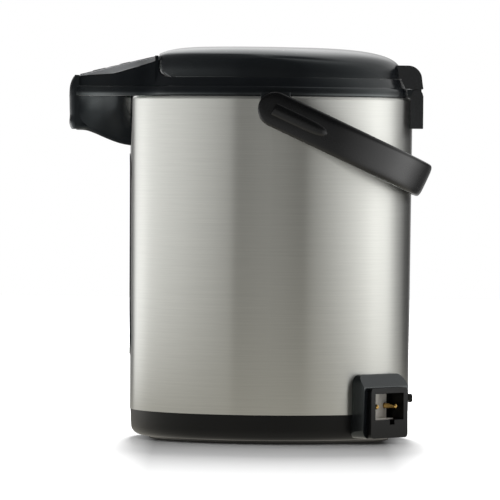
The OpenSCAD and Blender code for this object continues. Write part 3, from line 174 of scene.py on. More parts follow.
lamp("left_lamp", (0.6, -1.5, 0.6), (0.0, 0.0, 0.15), (0.8, 1.4), 1.5)
lamp("right_lamp", (0.6, 1.5, 0.6), (0.0, 0.0, 0.15), (0.8, 1.4), 1.5)
lamp("top_lamp", (0.0, 0.0, 1.9), (0.0, 0.0, 0.0), (0.5, 1.3), 7.5)
lamp("backdrop_lamp", (-1.9, 0.0, 1.7), (0.0, 0.0, 0.0), (0.45, 2.3), 88.0)

# The card is eight metres square, in four squares
span = np.linspace(-4.0, 4.0, 3)
gx, gy = np.meshgrid(span, span, indexing="ij")
floor_mesh = bpy.data.meshes.new("floor")
floor_mesh.from_pydata(np.stack([gx, gy, 0.0 * gx], -1).reshape(-1, 3).tolist(), [],
                       [(0, 3, 4, 1), (1, 4, 5, 2), (3, 6, 7, 4), (4, 7, 8, 5)])
floor = bpy.data.objects.new("floor", floor_mesh)
bpy.context.scene.collection.objects.link(floor)
paper = bpy.data.materials.new("white_card")
paper.use_nodes = True
tree = paper.node_tree
tree.nodes.clear()
out = tree.nodes.new("ShaderNodeOutputMaterial")
matt = tree.nodes.new("ShaderNodeBsdfDiffuse")
matt.inputs["Color"].default_value = (0.8, 0.8, 0.8, 1.0)
glow = tree.nodes.new("ShaderNodeEmission")
rays = tree.nodes.new("ShaderNodeLightPath")
seen = math_node(tree, "MAXIMUM", rays.outputs["Is Camera Ray"], rays.outputs["Is Transmission Ray"])
both = tree.nodes.new("ShaderNodeAddShader")
place = tree.nodes.new("ShaderNodeTexCoord").outputs["Object"]
distance = tree.nodes.new("ShaderNodeVectorMath")
distance.operation = "LENGTH"
tree.links.new(place, distance.inputs[0])

# The lit card burns out to white away from the pot, where no shadow lies
split = tree.nodes.new("ShaderNodeSeparateXYZ")
tree.links.new(place, split.inputs[0])
sideways = math_node(tree, "ABSOLUTE", split.outputs["Y"])
glare = math_node(tree, "ADD", fade(tree, sideways, 0.085, 0.12, 0.0, 0.6),
                  fade(tree, distance.outputs["Value"], 0.14, 0.6, 0.0, 0.6))
tree.links.new(math_node(tree, "MULTIPLY", seen, glare), glow.inputs["Strength"])
# What metal sees of the card: a dim warm patch round the pot, and the room past its edge
turn = compass(tree, split)
patch = tree.nodes.new("ShaderNodeEmission")
patch_levels = [(-180, 0.4), (-100, 0.7), (-36, 0.7), (-29, 0.74), (30, 0.74), (60, 0.58), (180, 0.35)]
tree.links.new(by_direction(tree, turn, patch_levels, 0.11), patch.inputs["Color"])
past = tree.nodes.new("ShaderNodeBsdfTransparent")
ends = tree.nodes.new("ShaderNodeMixShader")
by_gloss = tree.nodes.new("ShaderNodeMixShader")
link_chain(tree, matt.outputs[0], both.inputs[0], glow.outputs[0], both.inputs[1],
           fade(tree, distance.outputs["Value"], 0.3, 0.5, 0.0, 1.0), ends.inputs[0],
           patch.outputs[0], ends.inputs[1], past.outputs[0], ends.inputs[2],
           rays.outputs["Is Glossy Ray"], by_gloss.inputs[0], both.outputs[0], by_gloss.inputs[1],
           ends.outputs[0], by_gloss.inputs[2], by_gloss.outputs[0], out.inputs["Surface"])
floor_mesh.materials.append(paper)

# ---- Steel shell ------------------------------------------------------------------------------
# The pot's body is one sheet of stainless steel, rolled into a drum and turned in at the top. A
# belt has brushed it round and round, so every scratch runs level and its gloss spreads upwards.
def blank_finish(name):
    """A new material with a Principled shader and Object coordinates: (material, tree, shader, place)."""
    material = bpy.data.materials.new(name)
    material.use_nodes = True
    tree = material.node_tree
    place = tree.nodes.new("ShaderNodeTexCoord").outputs["Object"]
    return material, tree, shader_of(material), place


def shader_of(material):
    """The material's own shader."""
    return material.node_tree.nodes["Principled BSDF"]


def spots(tree, place, scale, detail=3.0, rough=0.55):
    """A noise over the coordinates in place, scale being its cells in a metre; returns its value."""
    noise = tree.nodes.new("ShaderNodeTexNoise")
    noise.inputs["Scale"].default_value = scale
    noise.inputs["Detail"].default_value = detail
    noise.inputs["Roughness"].default_value = rough
    tree.links.new(place, noise.inputs["Vector"])
    return noise.outputs[0]


def spread(tree, value, low, high, start=0.3, end=0.7):
    """Carries a noise's start to end onto low to high."""
    return fade(tree, value, start, end, low, high)


def tint(tree, value, dark, light):
    """Colours from dark to light as value goes from 0 to 1."""
    node = tree.nodes.new("ShaderNodeMix")
    node.data_type = "RGBA"
    node.inputs["A"].default_value = (*dark, 1.0)
    node.inputs["B"].default_value = (*light, 1.0)
    tree.links.new(value, node.inputs["Factor"])
    return node.outputs["Result"]


def relief(tree, shader, value, depth):
    """Raises the surface by depth metres where value is 1."""
    node = tree.nodes.new("ShaderNodeBump")
    node.inputs["Distance"].default_value = depth
    link_chain(tree, value, node.inputs["Height"], node.outputs[0], shader.inputs["Normal"])


def dress(material, *names):
    """Gives a CAD node, or several, the material."""
    for name in names:
        for node_slot in nodes[name].material_slots:
            node_slot.material = material


def stretched(tree, place, round_scale, rise_scale):
    """Drum coordinates: the angle round Z times round_scale, and the height times rise_scale."""
    split = tree.nodes.new("ShaderNodeSeparateXYZ")
    tree.links.new(place, split.inputs[0])
    turn = math_node(tree, "ARCTAN2", split.outputs["Y"], split.outputs["X"])
    join = tree.nodes.new("ShaderNodeCombineXYZ")
    tree.links.new(math_node(tree, "MULTIPLY", turn, round_scale), join.inputs["X"])
    tree.links.new(math_node(tree, "MULTIPLY", split.outputs["Z"], rise_scale), join.inputs["Y"])
    return join.outputs[0]


shell_steel, tree, shader, place = blank_finish("brushed_drum_steel")
fine = spots(tree, stretched(tree, place, 3.2, 3400.0), 1.0, 4.0, 0.6)
long = spots(tree, stretched(tree, place, 1.1, 700.0), 1.0, 2.0)
streak = math_node(tree, "ADD", math_node(tree, "MULTIPLY", fine, 0.65),
                   math_node(tree, "MULTIPLY", long, 0.35))
tree.links.new(tint(tree, spread(tree, streak, 0.0, 1.0), (0.597, 0.602, 0.57), (0.697, 0.702, 0.665)),
               shader.inputs["Base Color"])
tree.links.new(spread(tree, streak, 0.3, 0.36), shader.inputs["Roughness"])
relief(tree, shader, streak, 0.000003)
shader.inputs["Metallic"].default_value = 1.0
shader.inputs["Anisotropic"].default_value = 1.0
shader.inputs["Anisotropic Rotation"].default_value = 0.25
around = tree.nodes.new("ShaderNodeTangent")
around.direction_type = "RADIAL"
around.axis = "Z"
tree.links.new(around.outputs[0], shader.inputs["Tangent"])
dress(shell_steel, "outer_shell")

# ---- Base, bottom plate and turntable ---------------------------------------------------------
# Moulded in black polypropylene with a fine spark texture. The base moulding grips the shell's
# lower edge, the plate is screwed up into it, and the turntable swivels on the plate's spigot.
def moulded(name, colour, roughness, grain=1800.0, depth=0.00001, gloss_drift=0.05, coat=0.0, shine=0.5):
    """Moulded plastic: a fine grain in the surface and a slow drift in its gloss and tone."""
    material, tree, shader, place = blank_finish(name)
    cloud = spots(tree, place, 18.0, 4.0)
    grains = spots(tree, place, grain, 2.0)
    dark = tuple(c * 0.86 for c in colour)
    light = tuple(min(1.0, c * 1.12) for c in colour)
    tree.links.new(tint(tree, spread(tree, cloud, 0.0, 1.0), dark, light), shader.inputs["Base Color"])
    tree.links.new(spread(tree, cloud, roughness - gloss_drift, roughness + gloss_drift),
                   shader.inputs["Roughness"])
    relief(tree, shader, grains, depth)
    shader.inputs["Specular IOR Level"].default_value = shine
    if coat:
        shader.inputs["Coat Weight"].default_value = coat
        shader.inputs["Coat Roughness"].default_value = 0.06
    return material


satin_black = moulded("satin_black_moulding", (0.0042, 0.0048, 0.0054), 0.36, 1500.0, 0.00001, shine=0.22)
hinge_black = moulded("hinge_black_moulding", (0.01, 0.012, 0.0135), 0.19, 1500.0, 0.000006, shine=1.0)
dress(satin_black, "base_moulding", "bottom_plate", "turntable", "window_frame", "inlet_housing")
dress(hinge_black, "lid_base", "hinge_block")
rubber = moulded("black_rubber", (0.014, 0.014, 0.014), 0.72, 900.0, 0.00003)
dress(rubber, "grip_ring", "rear_bumper")


def turned_metal(name, colour, roughness, drift=0.06, scratch=900.0):
    """Bare metal with faint scratches that run round and round, on walls and on discs."""
    material, tree, shader, place = blank_finish(name)
    split = tree.nodes.new("ShaderNodeSeparateXYZ")
    tree.links.new(place, split.inputs[0])
    radius = math_node(tree, "SQRT", math_node(tree, "ADD", math_node(tree, "POWER", split.outputs["X"], 2.0),
                                               math_node(tree, "POWER", split.outputs["Y"], 2.0)))
    join = tree.nodes.new("ShaderNodeCombineXYZ")
    tree.links.new(math_node(tree, "ADD", radius, split.outputs["Z"]), join.inputs["X"])
    tree.links.new(math_node(tree, "MULTIPLY", split.outputs["X"], 0.03), join.inputs["Y"])
    tree.links.new(math_node(tree, "MULTIPLY", split.outputs["Y"], 0.03), join.inputs["Z"])
    lines = spots(tree, join.outputs[0], scratch, 3.0)
    dark = tuple(c * 0.9 for c in colour)
    tree.links.new(tint(tree, spread(tree, lines, 0.0, 1.0), dark, colour), shader.inputs["Base Color"])
    tree.links.new(spread(tree, lines, roughness - drift, roughness + drift), shader.inputs["Roughness"])
    relief(tree, shader, lines, 0.000004)
    shader.inputs["Metallic"].default_value = 1.0
    return material


fastener = turned_metal("zinc_fastener", (0.62, 0.62, 0.63), 0.3)
dress(fastener, "base_screws", "turntable_screw", "hinge_pin", "lever_pin", "bail_pins")

# ---- Boiling vessel and heater ----------------------------------------------------------------
# The vessel is deep-drawn stainless steel, polished inside. A mica band heater is strapped round
# its foot, glazed thermostats are clamped under it, and a milky silicone ring seals its rim.
vessel_steel = turned_metal("drawn_vessel_steel", (0.74, 0.735, 0.72), 0.3, 0.04)
dress(vessel_steel, "inner_vessel", "inner_lid_plate", "outlet_strainer")
silicone = moulded("milky_silicone", (0.62, 0.59, 0.53), 0.5, 700.0, 0.00001)
shader_of(silicone).inputs["Subsurface Weight"].default_value = 0.15
shader_of(silicone).inputs["Subsurface Scale"].default_value = 0.002
dress(silicone, "vessel_gasket", "lid_gasket", "suction_hose", "riser_elbow")
dress(moulded("mica_band", (0.34, 0.29, 0.23), 0.6, 500.0, 0.00004), "band_heater")
dress(moulded("glazed_ceramic", (0.74, 0.69, 0.6), 0.18, 300.0, 0.000006, coat=0.5), "thermostats")

# ---- Pump, pipes and boards -------------------------------------------------------------------
# A canned motor turns a small impeller in a natural nylon housing. It lifts the water through a
# glass riser behind the level window and over the rim to the spout.
dress(turned_metal("drawn_motor_can", (0.55, 0.56, 0.58), 0.35), "pump_motor")
natural = moulded("natural_nylon", (0.72, 0.7, 0.63), 0.4, 900.0, 0.000012)
nodes["spout_pipe"].visible_glossy = False
dress(natural, "pump_housing", "pump_impeller", "spout_pipe", "lid_catch")
green_mask, tree, shader, place = blank_finish("solder_mask")
tracks = tree.nodes.new("ShaderNodeTexBrick")
tracks.inputs["Scale"].default_value = 260.0
tracks.inputs["Color1"].default_value = (0.02, 0.14, 0.05, 1.0)
tracks.inputs["Color2"].default_value = (0.025, 0.17, 0.065, 1.0)
tracks.inputs["Mortar"].default_value = (0.1, 0.32, 0.12, 1.0)
tracks.inputs["Mortar Size"].default_value = 0.04
tree.links.new(place, tracks.inputs["Vector"])
tree.links.new(tracks.outputs["Color"], shader.inputs["Base Color"])
tree.links.new(spread(tree, spots(tree, place, 600.0), 0.3, 0.45), shader.inputs["Roughness"])
dress(green_mask, "power_board", "control_board")


def clear(name, colour, roughness):
    """Clear plastic or glass with a faint ripple in its gloss."""
    material, tree, shader, place = blank_finish(name)
    ripple = spots(tree, place, 60.0)
    shader.inputs["Transmission Weight"].default_value = 1.0
    shader.inputs["IOR"].default_value = 1.46
    tree.links.new(tint(tree, ripple, tuple(c * 0.94 for c in colour), colour), shader.inputs["Base Color"])
    tree.links.new(spread(tree, ripple, roughness, roughness + 0.03), shader.inputs["Roughness"])
    relief(tree, shader, ripple, 0.00001)
    return material


dress(clear("riser_glass", (0.93, 0.97, 0.97), 0.01), "riser_tube", "level_window")
dress(clear("smoked_window", (0.1, 0.12, 0.12), 0.04), "display_window")
dress(clear("amber_lens", (0.8, 0.25, 0.04), 0.1), "indicator_lenses")

# ---- Top housing ------------------------------------------------------------------------------
# One gloss ABS moulding: a ring round the mouth that sits on the shell's rim, with the hollow nose
# drawn out of it in smooth curves and a lug on each side that carries the bail.
RIM, SEAM, NOSE_TIP, LID_FRONT = 259.0, 273.0, -148.0, -85.0
PANEL_Z, PANEL_FALL = 274.8, math.tan(math.radians(13.2))
# How far the skin's top edge lies inside its plan, and the radius by which it climbs off the ring
TOP_INSET, FILLET = 5.6, 7.6
# The wall that closes the nose's back, a hair in front of the lid, and how far the flank leans in
WALL_Y, FLANK_LEAN = LID_FRONT - 0.5, 1.9
# The bail's pivots, and the lugs' radius round them
BAIL_Y, BAIL_Z, LUG_R = 2.5, 249.0, 11.0


def solid(name, points, faces, sharp=32.0):
    """A mesh object from points in millimetres and faces. Edges bent by more than sharp degrees
    stay crisp."""
    mesh = bpy.data.meshes.new(name)
    mesh.from_pydata((np.asarray(points) * 0.001).tolist(), [], [tuple(map(int, f)) for f in faces])
    mesh.validate()
    obj = bpy.data.objects.new(name, mesh)
    bpy.context.scene.collection.objects.link(obj)
    outwards(mesh, sharp)
    return obj


def outwards(mesh, sharp):
    """Merges doubles, turns the faces outwards and shades smooth between crisp edges."""
    form = bmesh.new()
    form.from_mesh(mesh)
    bmesh.ops.remove_doubles(form, verts=form.verts, dist=1e-7)
    bmesh.ops.recalc_face_normals(form, faces=form.faces)
    form.to_mesh(mesh)
    form.free()
    mesh.shade_smooth()
    mesh.set_sharp_from_angle(angle=math.radians(sharp))


def lofted(points, round_u=False, round_v=True, first=0):
    """Faces of a grid points[u, v]: quads between rows, closed round u or v, with capped ends if v
    is round. Returns the points as one list and the faces, whose numbers start at first."""
    nu, nv = points.shape[:2]
    u = np.arange(nu if round_u else nu - 1)
    v = np.arange(nv if round_v else nv - 1)
    a, b = np.meshgrid(u, v, indexing="ij")
    c, d = (a + 1) % nu, (b + 1) % nv
    quads = np.stack([a * nv + b, c * nv + b, c * nv + d, a * nv + d], -1).reshape(-1, 4) + first
    faces = quads.tolist()
    if round_v and not round_u:
        faces += [(first + np.arange(nv))[::-1].tolist(), (first + (nu - 1) * nv + np.arange(nv)).tolist()]
    return points.reshape(-1, 3), faces


def joined(name, grids, sharp=32.0):
    """One object out of several grids, each given as (points, round_u, round_v)."""
    all_points, all_faces, count = [], [], 0
    for points, round_u, round_v in grids:
        p, f = lofted(points, round_u, round_v, count)
        all_points.append(p)
        all_faces += f
        count += len(p)
    return solid(name, np.concatenate(all_points), all_faces, sharp)


def revolved(profile, turns=180):
    """A profile of (radius, height) pairs carried round Z: a grid that closes both ways."""
    angle = np.linspace(0.0, 2.0 * math.pi, turns, endpoint=False)[:, None]
    r, z = np.asarray(profile, float).T
    return np.stack([r * np.cos(angle), r * np.sin(angle), z + 0.0 * angle], -1)


def smooth_line(knots, values, at):
    """A cubic curve through values at knots, with slopes taken from each knot's two neighbours."""
    knots, values = np.asarray(knots, float), np.asarray(values, float)
    slope = np.gradient(values, knots)
    i = np.clip(np.searchsorted(knots, at) - 1, 0, len(knots) - 2)
    h = knots[i + 1] - knots[i]
    t = np.clip((at - knots[i]) / h, 0.0, 1.0)
    return ((1 + 2 * t) * (1 - t) ** 2 * values[i] + t * (1 - t) ** 2 * h * slope[i]
            + t * t * (3 - 2 * t) * values[i + 1] + t * t * (t - 1) * h * slope[i + 1])


def bezier(a, b, c, d, t):
    """Points of the cubic Bezier curve with those four control points, at t from 0 to 1."""
    t = np.asarray(t)[:, None]
    return ((1 - t) ** 3 * np.array(a) + 3 * t * (1 - t) ** 2 * np.array(b)
            + 3 * t * t * (1 - t) * np.array(c) + t ** 3 * np.array(d))


# Plan of the nose's right flank: a stretch of the ring, a hollow blend, and the flank to the tip
ring_turn = np.radians(np.linspace(-48.0, -54.0, 30))
on_ring = 104.25 * np.stack([np.cos(ring_turn), np.sin(ring_turn)], -1)
flank_way = bezier((50.5, -90.9), (52.0, -116.0), (17.0, -129.0), (16.0, NOSE_TIP),
                   np.linspace(0.12, 1.0, 64))
run_in, run_out = on_ring[-1] - on_ring[-2], flank_way[1] - flank_way[0]
reach = np.linalg.norm(flank_way[0] - on_ring[-1]) * 0.4
blend = bezier(on_ring[-1], on_ring[-1] + reach * run_in / np.linalg.norm(run_in),
               flank_way[0] - reach * run_out / np.linalg.norm(run_out), flank_way[0],
               np.linspace(0.0, 1.0, 30)[1:-1])
flank_plan = np.concatenate([on_ring, blend, flank_way])
along = np.gradient(flank_plan, axis=0)
flank_side = np.stack([-along[:, 1], along[:, 0]], -1) / np.linalg.norm(along, axis=1)[:, None]


def bezel_height(y):
    """Height of the line where the grey bezel meets the nose: level at the tip, then rising."""
    parts = np.array([-0.1, 0.0, 0.2, 0.35, 0.5, 0.64, 0.86, 1.06])
    depth = np.array([0.4, 1.6, 3.3, 5.1, 6.4, 6.0, 5.0, 3.4])
    run = WALL_Y - NOSE_TIP
    knots = NOSE_TIP + parts * run
    return smooth_line(knots, panel_height(knots) - depth, y)


def panel_height(y):
    """Height of the panel's sloping plane at y."""
    return PANEL_Z + (np.asarray(y) - NOSE_TIP + 1.0) * PANEL_FALL


def nose_skin(inset, height, tip_inset=0.0, first=0):
    """Points at the given insets and heights over the flank's plan from its point first on, then
    mirrored round the tip. inset and height have a row for each plan point and a column for each step."""
    plan = flank_plan[first:, None, :] - inset[..., None] * flank_side[first:, None, :]
    pull = np.clip((-120.0 - plan[..., 1]) / (-120.0 - NOSE_TIP), 0.0, 1.0)
    plan[..., 1] = np.maximum(plan[..., 1], NOSE_TIP) + tip_inset * pull
    right = np.concatenate([plan, height[..., None]], -1)
    left = right[::-1] * np.array([-1.0, 1.0, 1.0])
    return np.concatenate([right, left], 0)


flank_y = flank_plan[:, 1]
top_y = flank_y - TOP_INSET * flank_side[:, 1]
# The horn is the quarter round by which the skin's top climbs from the ring to the bezel
horn_run = np.clip((-77.9 - top_y) / FILLET, 0.0, 1.0)
horn = SEAM + FILLET * (1.0 - np.sqrt(1.0 - horn_run ** 2))
skin_top = np.where(top_y > LID_FRONT - 0.4, horn, bezel_height(top_y))
at_panel = panel_height(np.minimum(top_y, LID_FRONT)) - 1.4
# Steps up the skin: the rounded foot band, the crease, the leaning flank and its soft shoulder
foot_inset = np.array([0.55, 0.12, 0.0, 0.05, 0.3, 1.0, 2.0])
foot_height = np.array([0.0, 0.7, 2.2, 4.3, 5.9, 7.0, 7.5]) + RIM
foot_top = foot_height[-1]
full = foot_top + np.outer(skin_top - foot_top, np.linspace(0.0, 1.0, 12)[1:])
above = full - foot_top
share = above / (at_panel - foot_top)[:, None]
# The skin grows out of the ring's own slope, and has the nose's steeper one where the lid ends
leave = np.clip((-86.0 - flank_y) / 22.0, 0.0, 1.0)[:, None]
leave = leave * leave * (3.0 - 2.0 * leave)
ring_lean = 0.385 * np.minimum(above, 7.0) + 0.1 * np.maximum(above - 7.0, 0.0)
lean = foot_inset[-1] + (1.0 - leave) * ring_lean + leave * FLANK_LEAN * share
sunk = 0.25 * np.clip((flank_y + 79.0) / 1.5, 0.0, 1.0)[:, None]
outer_inset = np.concatenate([np.tile(foot_inset, (len(flank_y), 1)), lean], 1) - 0.03 + sunk
outer_z = np.concatenate([np.tile(foot_height, (len(flank_y), 1)), full], 1)
lip_inset = outer_inset[:, -1:] + np.array([0.35, 2.4, 2.6])
lip_z = outer_z[:, -1:] + np.array([0.3, 0.3, -1.0])
floor_inset = np.tile([4.6, 4.2], (len(flank_y), 1))
floor_z = np.tile([RIM + 2.4, RIM], (len(flank_y), 1))
skin = nose_skin(np.concatenate([outer_inset, lip_inset, floor_inset], 1),
                 np.concatenate([outer_z, lip_z, floor_z], 1))
ring = revolved([(102.0, RIM), (103.7, RIM), (104.13, RIM + 0.7), (104.25, RIM + 2.2),
                 (104.2, RIM + 4.3), (103.95, RIM + 5.9), (103.25, RIM + 7.0), (102.25, RIM + 7.5),
                 (101.9, RIM + 8.2), (99.95, SEAM - 0.5), (99.6, SEAM - 0.08), (99.2, SEAM),
                 (91.0, SEAM), (90.4, SEAM - 0.4), (86.0, 261.3), (102.0, 261.3)])
# The wall at the nose's back narrows upwards as the flanks lean in
wall_top = float(bezel_height(np.array([WALL_Y]))[0]) + 3.4
wall_z = np.linspace(262.0, wall_top, 14)
wall_w = 53.0 - FLANK_LEAN * (wall_z - foot_top) / 23.0
wall_corners = ((-1, WALL_Y), (1, WALL_Y), (1, WALL_Y - 2.4), (-1, WALL_Y - 2.4))
back = np.stack([np.stack([side * wall_w, 0 * wall_z + y, wall_z], -1) for side, y in wall_corners], 1)
grids = [(ring, True, True), (skin, False, True), (back, False, True)]
# Each lug is a rounded ear that hangs from the ring down over the shell's edge. Its steps are the
# distances from the middle and how much the outline has shrunk there
ear = np.linspace(math.pi, 2.0 * math.pi, 33)
ear_y = np.concatenate([[LUG_R], LUG_R * np.cos(ear + math.pi), [-LUG_R]])
ear_z = np.concatenate([[13.0], -LUG_R * np.abs(np.sin(ear)), [13.0]])
lug_steps = [(107.5, 0.6), (107.5, 0.0), (110.3, 0.0), (110.7, 0.4), (110.7, 1.2)]
for side in (-1.0, 1.0):
    lug = np.stack([np.stack([0 * ear_y + side * x, BAIL_Y + ear_y * (1.0 - k / LUG_R),
                              BAIL_Z + ear_z * (1.0 - k / LUG_R)], -1) for x, k in lug_steps], 0)
    grids.append((lug, False, True))
# Two webs behind the ring close the valley between it and the hinge block's ears
web = np.array([(102.6, 259.4), (106.8, 259.4), (107.4, 262.0), (107.2, 265.3), (106.8, 265.75),
                (102.0, 265.75)])
for x0, x1 in ((-22.6, -14.4), (14.4, 22.6)):
    grids.append((np.stack([np.c_[0 * web[:, 0] + x, web] for x in (x0, x1)]), False, True))
housing = joined("top_housing", grids)
gloss_black = moulded("gloss_black_moulding", (0.013, 0.015, 0.0175), 0.17, 500.0, 0.000002, 0.03)
cool_tint = (0.91, 1.0, 1.0, 1.0)
shader_of(gloss_black).inputs["Specular Tint"].default_value = cool_tint


def painted_sheen_gloss(name, start, *fades):
    """The gloss black with painted highlights and painted shade: the strength of its reflection is start
    times each fade, given as the axis, the two places on it in metres, and the share at each."""
    material = gloss_black.copy()
    material.name = name
    tree = material.node_tree
    split = tree.nodes.new("ShaderNodeSeparateXYZ")
    tree.links.new(tree.nodes.new("ShaderNodeTexCoord").outputs["Object"], split.inputs[0])
    shine = start
    for axis, *ends in fades:
        shine = math_node(tree, "MULTIPLY", fade(tree, split.outputs[axis], *ends), shine)
    tree.links.new(shine, shader_of(material).inputs["Specular IOR Level"])
    return material


# Painted highlights and shade: the reflection is stronger at the nose's tip, much stronger towards the rear
# and on the foot band, and weaker on the flank above it
housing.data.materials.append(painted_sheen_gloss("housing_black_painted_sheen", 0.5, ("Y", -0.134, -0.114, 1.1, 0.36),
                                           ("Y", -0.04, 0.06, 1.0, 2.9), ("Z", 0.2645, 0.2668, 1.3, 0.75)))
housing.visible_glossy = False
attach(housing, "pot")
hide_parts("collar")

# ---- Grey bezel -------------------------------------------------------------------------------
# A separate ABS strip, lacquered metallic grey, that caps the nose's open top. It widens towards
# the lid, and its rim lies a little below the panel's membrane.
first = int(np.argmax(top_y < WALL_Y))
bezel_y = top_y[first:]
low, plane = bezel_height(bezel_y) + 0.35, panel_height(bezel_y)
low_inset = outer_inset[first:, -1]
# It climbs from the nose's edge, rounds over at its rim and drops into the panel's well
rounding = np.radians(np.linspace(0.0, 90.0, 7))
up = low[:, None] + np.outer(plane - 1.9 - low, np.linspace(0.0, 1.0, 5))
up_inset = low_inset[:, None] + np.outer(0 * plane + 0.7, np.linspace(0.0, 1.0, 5))
turn_inset = low_inset[:, None] + 0.7 + 1.0 * (1.0 - np.cos(rounding[1:]))
turn_z = plane[:, None] - 1.9 + np.sin(rounding[1:])[None, :]
inner_inset = low_inset[:, None] + np.array([4.0, 4.0, 2.4, 2.4])
inner_z = np.stack([plane - 0.9, plane - 2.2, plane - 3.0, low], 1)
tip_back = np.array([0.0] * 5 + [0.0, 0.1, 0.3, 0.5, 0.8, 1.1] + [2.5, 2.5, 2.4, 2.4])
bezel_strip = joined("bezel_strip", [(nose_skin(
    np.concatenate([up_inset, turn_inset, inner_inset], 1),
    np.concatenate([up, turn_z, inner_z], 1), tip_back, first), False, True)])
lacquer, tree, shader, place = blank_finish("metallic_grey_lacquer")
flake = tree.nodes.new("ShaderNodeTexVoronoi")
flake.inputs["Scale"].default_value = 5200.0
tree.links.new(place, flake.inputs["Vector"])
tree.links.new(tint(tree, spread(tree, flake.outputs["Distance"], 0.0, 1.0, 0.1, 0.8),
                    (0.4, 0.415, 0.43), (0.62, 0.635, 0.65)), shader.inputs["Base Color"])
tree.links.new(spread(tree, flake.outputs["Distance"], 0.26, 0.4, 0.1, 0.8), shader.inputs["Roughness"])
relief(tree, shader, flake.outputs["Distance"], 0.000003)
shader.inputs["Metallic"].default_value = 0.65
shader.inputs["Coat Weight"].default_value = 0.8
shader.inputs["Coat Roughness"].default_value = 0.1
bezel_strip.data.materials.append(lacquer)
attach(bezel_strip, "pot")
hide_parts("bezel")

# ---- Panel membrane and buttons ---------------------------------------------------------------
# A hard-coated dark sheet lies on the panel, with keys of fine-grained grey that stand up through
# it. The display is a smoked window, and five amber lenses sit in a row at the back.
dress(moulded("dark_hard_coat", (0.006, 0.006, 0.007), 0.16, 420.0, 0.000002, 0.03, coat=0.3), "fascia")
key_grey = moulded("grained_grey_key", (0.17, 0.175, 0.18), 0.45, 2400.0, 0.000012)
dress(key_grey, "dispense_button", "unlock_button", "reboil_button", "select_button")

# ---- Beak -------------------------------------------------------------------------------------
# The cover under the nose hides the spout pipe. It is a gloss moulding that grows out of the
# shell's front narrow, flares to the nose's width and tapers to the spout's guard.
beak_y = np.concatenate([np.linspace(-100.5, -109.0, 10), np.linspace(-110.0, -147.9, 46)])
depth = smooth_line([100.0, 107.0, 115.0, 121.0, 127.0, 134.0, 140.0, 149.0],
                    [37.4, 37.1, 35.6, 33.6, 31.2, 28.2, 26.2, 25.6], -beak_y)
# Its top is as wide as the nose, but narrow where it leaves the shell; its keel is narrow all along
flank_w = np.interp(-beak_y, -flank_y, flank_plan[:, 0]) - 0.6
flare = 20.0 + 30.0 * np.clip((-beak_y - 106.0) / 10.0, 0.0, 4.0) ** 0.8
top_w = (flare ** -6.0 + flank_w ** -6.0) ** (-1.0 / 6.0)
keel_w = smooth_line([100.0, 108.0, 115.0, 127.0, 140.0, 149.0],
                     [13.0, 14.0, 15.6, 16.6, 15.2, 13.0], -beak_y)
# Each side is a Bezier curve from the top to the keel, with a round corner of 3 mm under it
down = np.linspace(0.0, 1.0, 22)[:, None]
side_w = (top_w * (1 - down) ** 3 + 3 * (top_w - 0.3) * down * (1 - down) ** 2
          + 3 * (keel_w + 2.5) * down ** 2 * (1 - down) + keel_w * down ** 3)
side_z = -(3 * 0.42 * down * (1 - down) ** 2 + 3 * 0.72 * down ** 2 * (1 - down)
           + down ** 3) * (depth - 3.0)
bend = np.radians(np.linspace(0.0, 90.0, 8))[1:, None]
corner_w, corner_z = keel_w - 3.2 * (1.0 - np.cos(bend)), 3.0 - depth - 3.0 * np.sin(bend)
half_x = np.concatenate([side_w, corner_w], 0).T
half_z = RIM - 0.35 + np.concatenate([side_z, corner_z], 0).T
loop_x = np.concatenate([half_x, -half_x[:, ::-1]], 1)
loop_z = np.concatenate([half_z, half_z[:, ::-1]], 1)
loop_y = np.tile(beak_y[:, None], (1, loop_x.shape[1]))
beak = joined("beak_shroud", [(np.stack([loop_x, loop_y, loop_z], -1), False, True)], 50.0)
# Painted shade and highlight: the reflection is weak low on the beak and near the shell, and stronger on its
# upper part and at the front
beak.data.materials.append(painted_sheen_gloss("beak_black_painted_sheen", 1.0, ("Z", 0.247, 0.259, 0.24, 0.75),
                                        ("Y", -0.136, -0.127, 1.0, 0.45), ("Y", -0.119, -0.11, 1.0, 0.45)))
beak.visible_glossy = False
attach(beak, "pot")
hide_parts("beak_cover")

# ---- Front plate and spout guard --------------------------------------------------------------
# A gloss plate, a little narrower than the nose, closes its tip and runs down into a guard round
# the nozzle. It snaps on, so a fine joint shows all round it.
SPOUT_Y, PLATE_FOOT = -143.5, 233.6
ease = np.cos(np.radians(np.arange(15, 91, 15)))
plate_z = np.concatenate([[PLATE_FOOT], PLATE_FOOT + 1.6 * (1 - ease), np.linspace(236.4, 271.0, 40),
                          274.6 - 1.8 * ease])
front_y = smooth_line([PLATE_FOOT, 235.1, 245.0, 255.0, 260.2, 267.8, 271.0, 273.2, 274.8],
                      [-151.6, -152.5, -153.2, -153.5, -153.6, -152.9, -151.8, -150.6, -149.2], plate_z)
back_y = smooth_line([PLATE_FOOT, 236.0, 238.2, 245.6, 250.5, 256.0, 262.0, 275.0],
                     [-134.9, -135.1, -136.2, -143.9, -146.6, -147.9, -148.05, -148.05], plate_z)
edge = np.minimum(1.0, np.minimum(plate_z - PLATE_FOOT, 276.0 - plate_z) / 1.6)
plate_w = 15.6 - 1.6 * (1 - np.sqrt(1 - (1 - edge) ** 2))
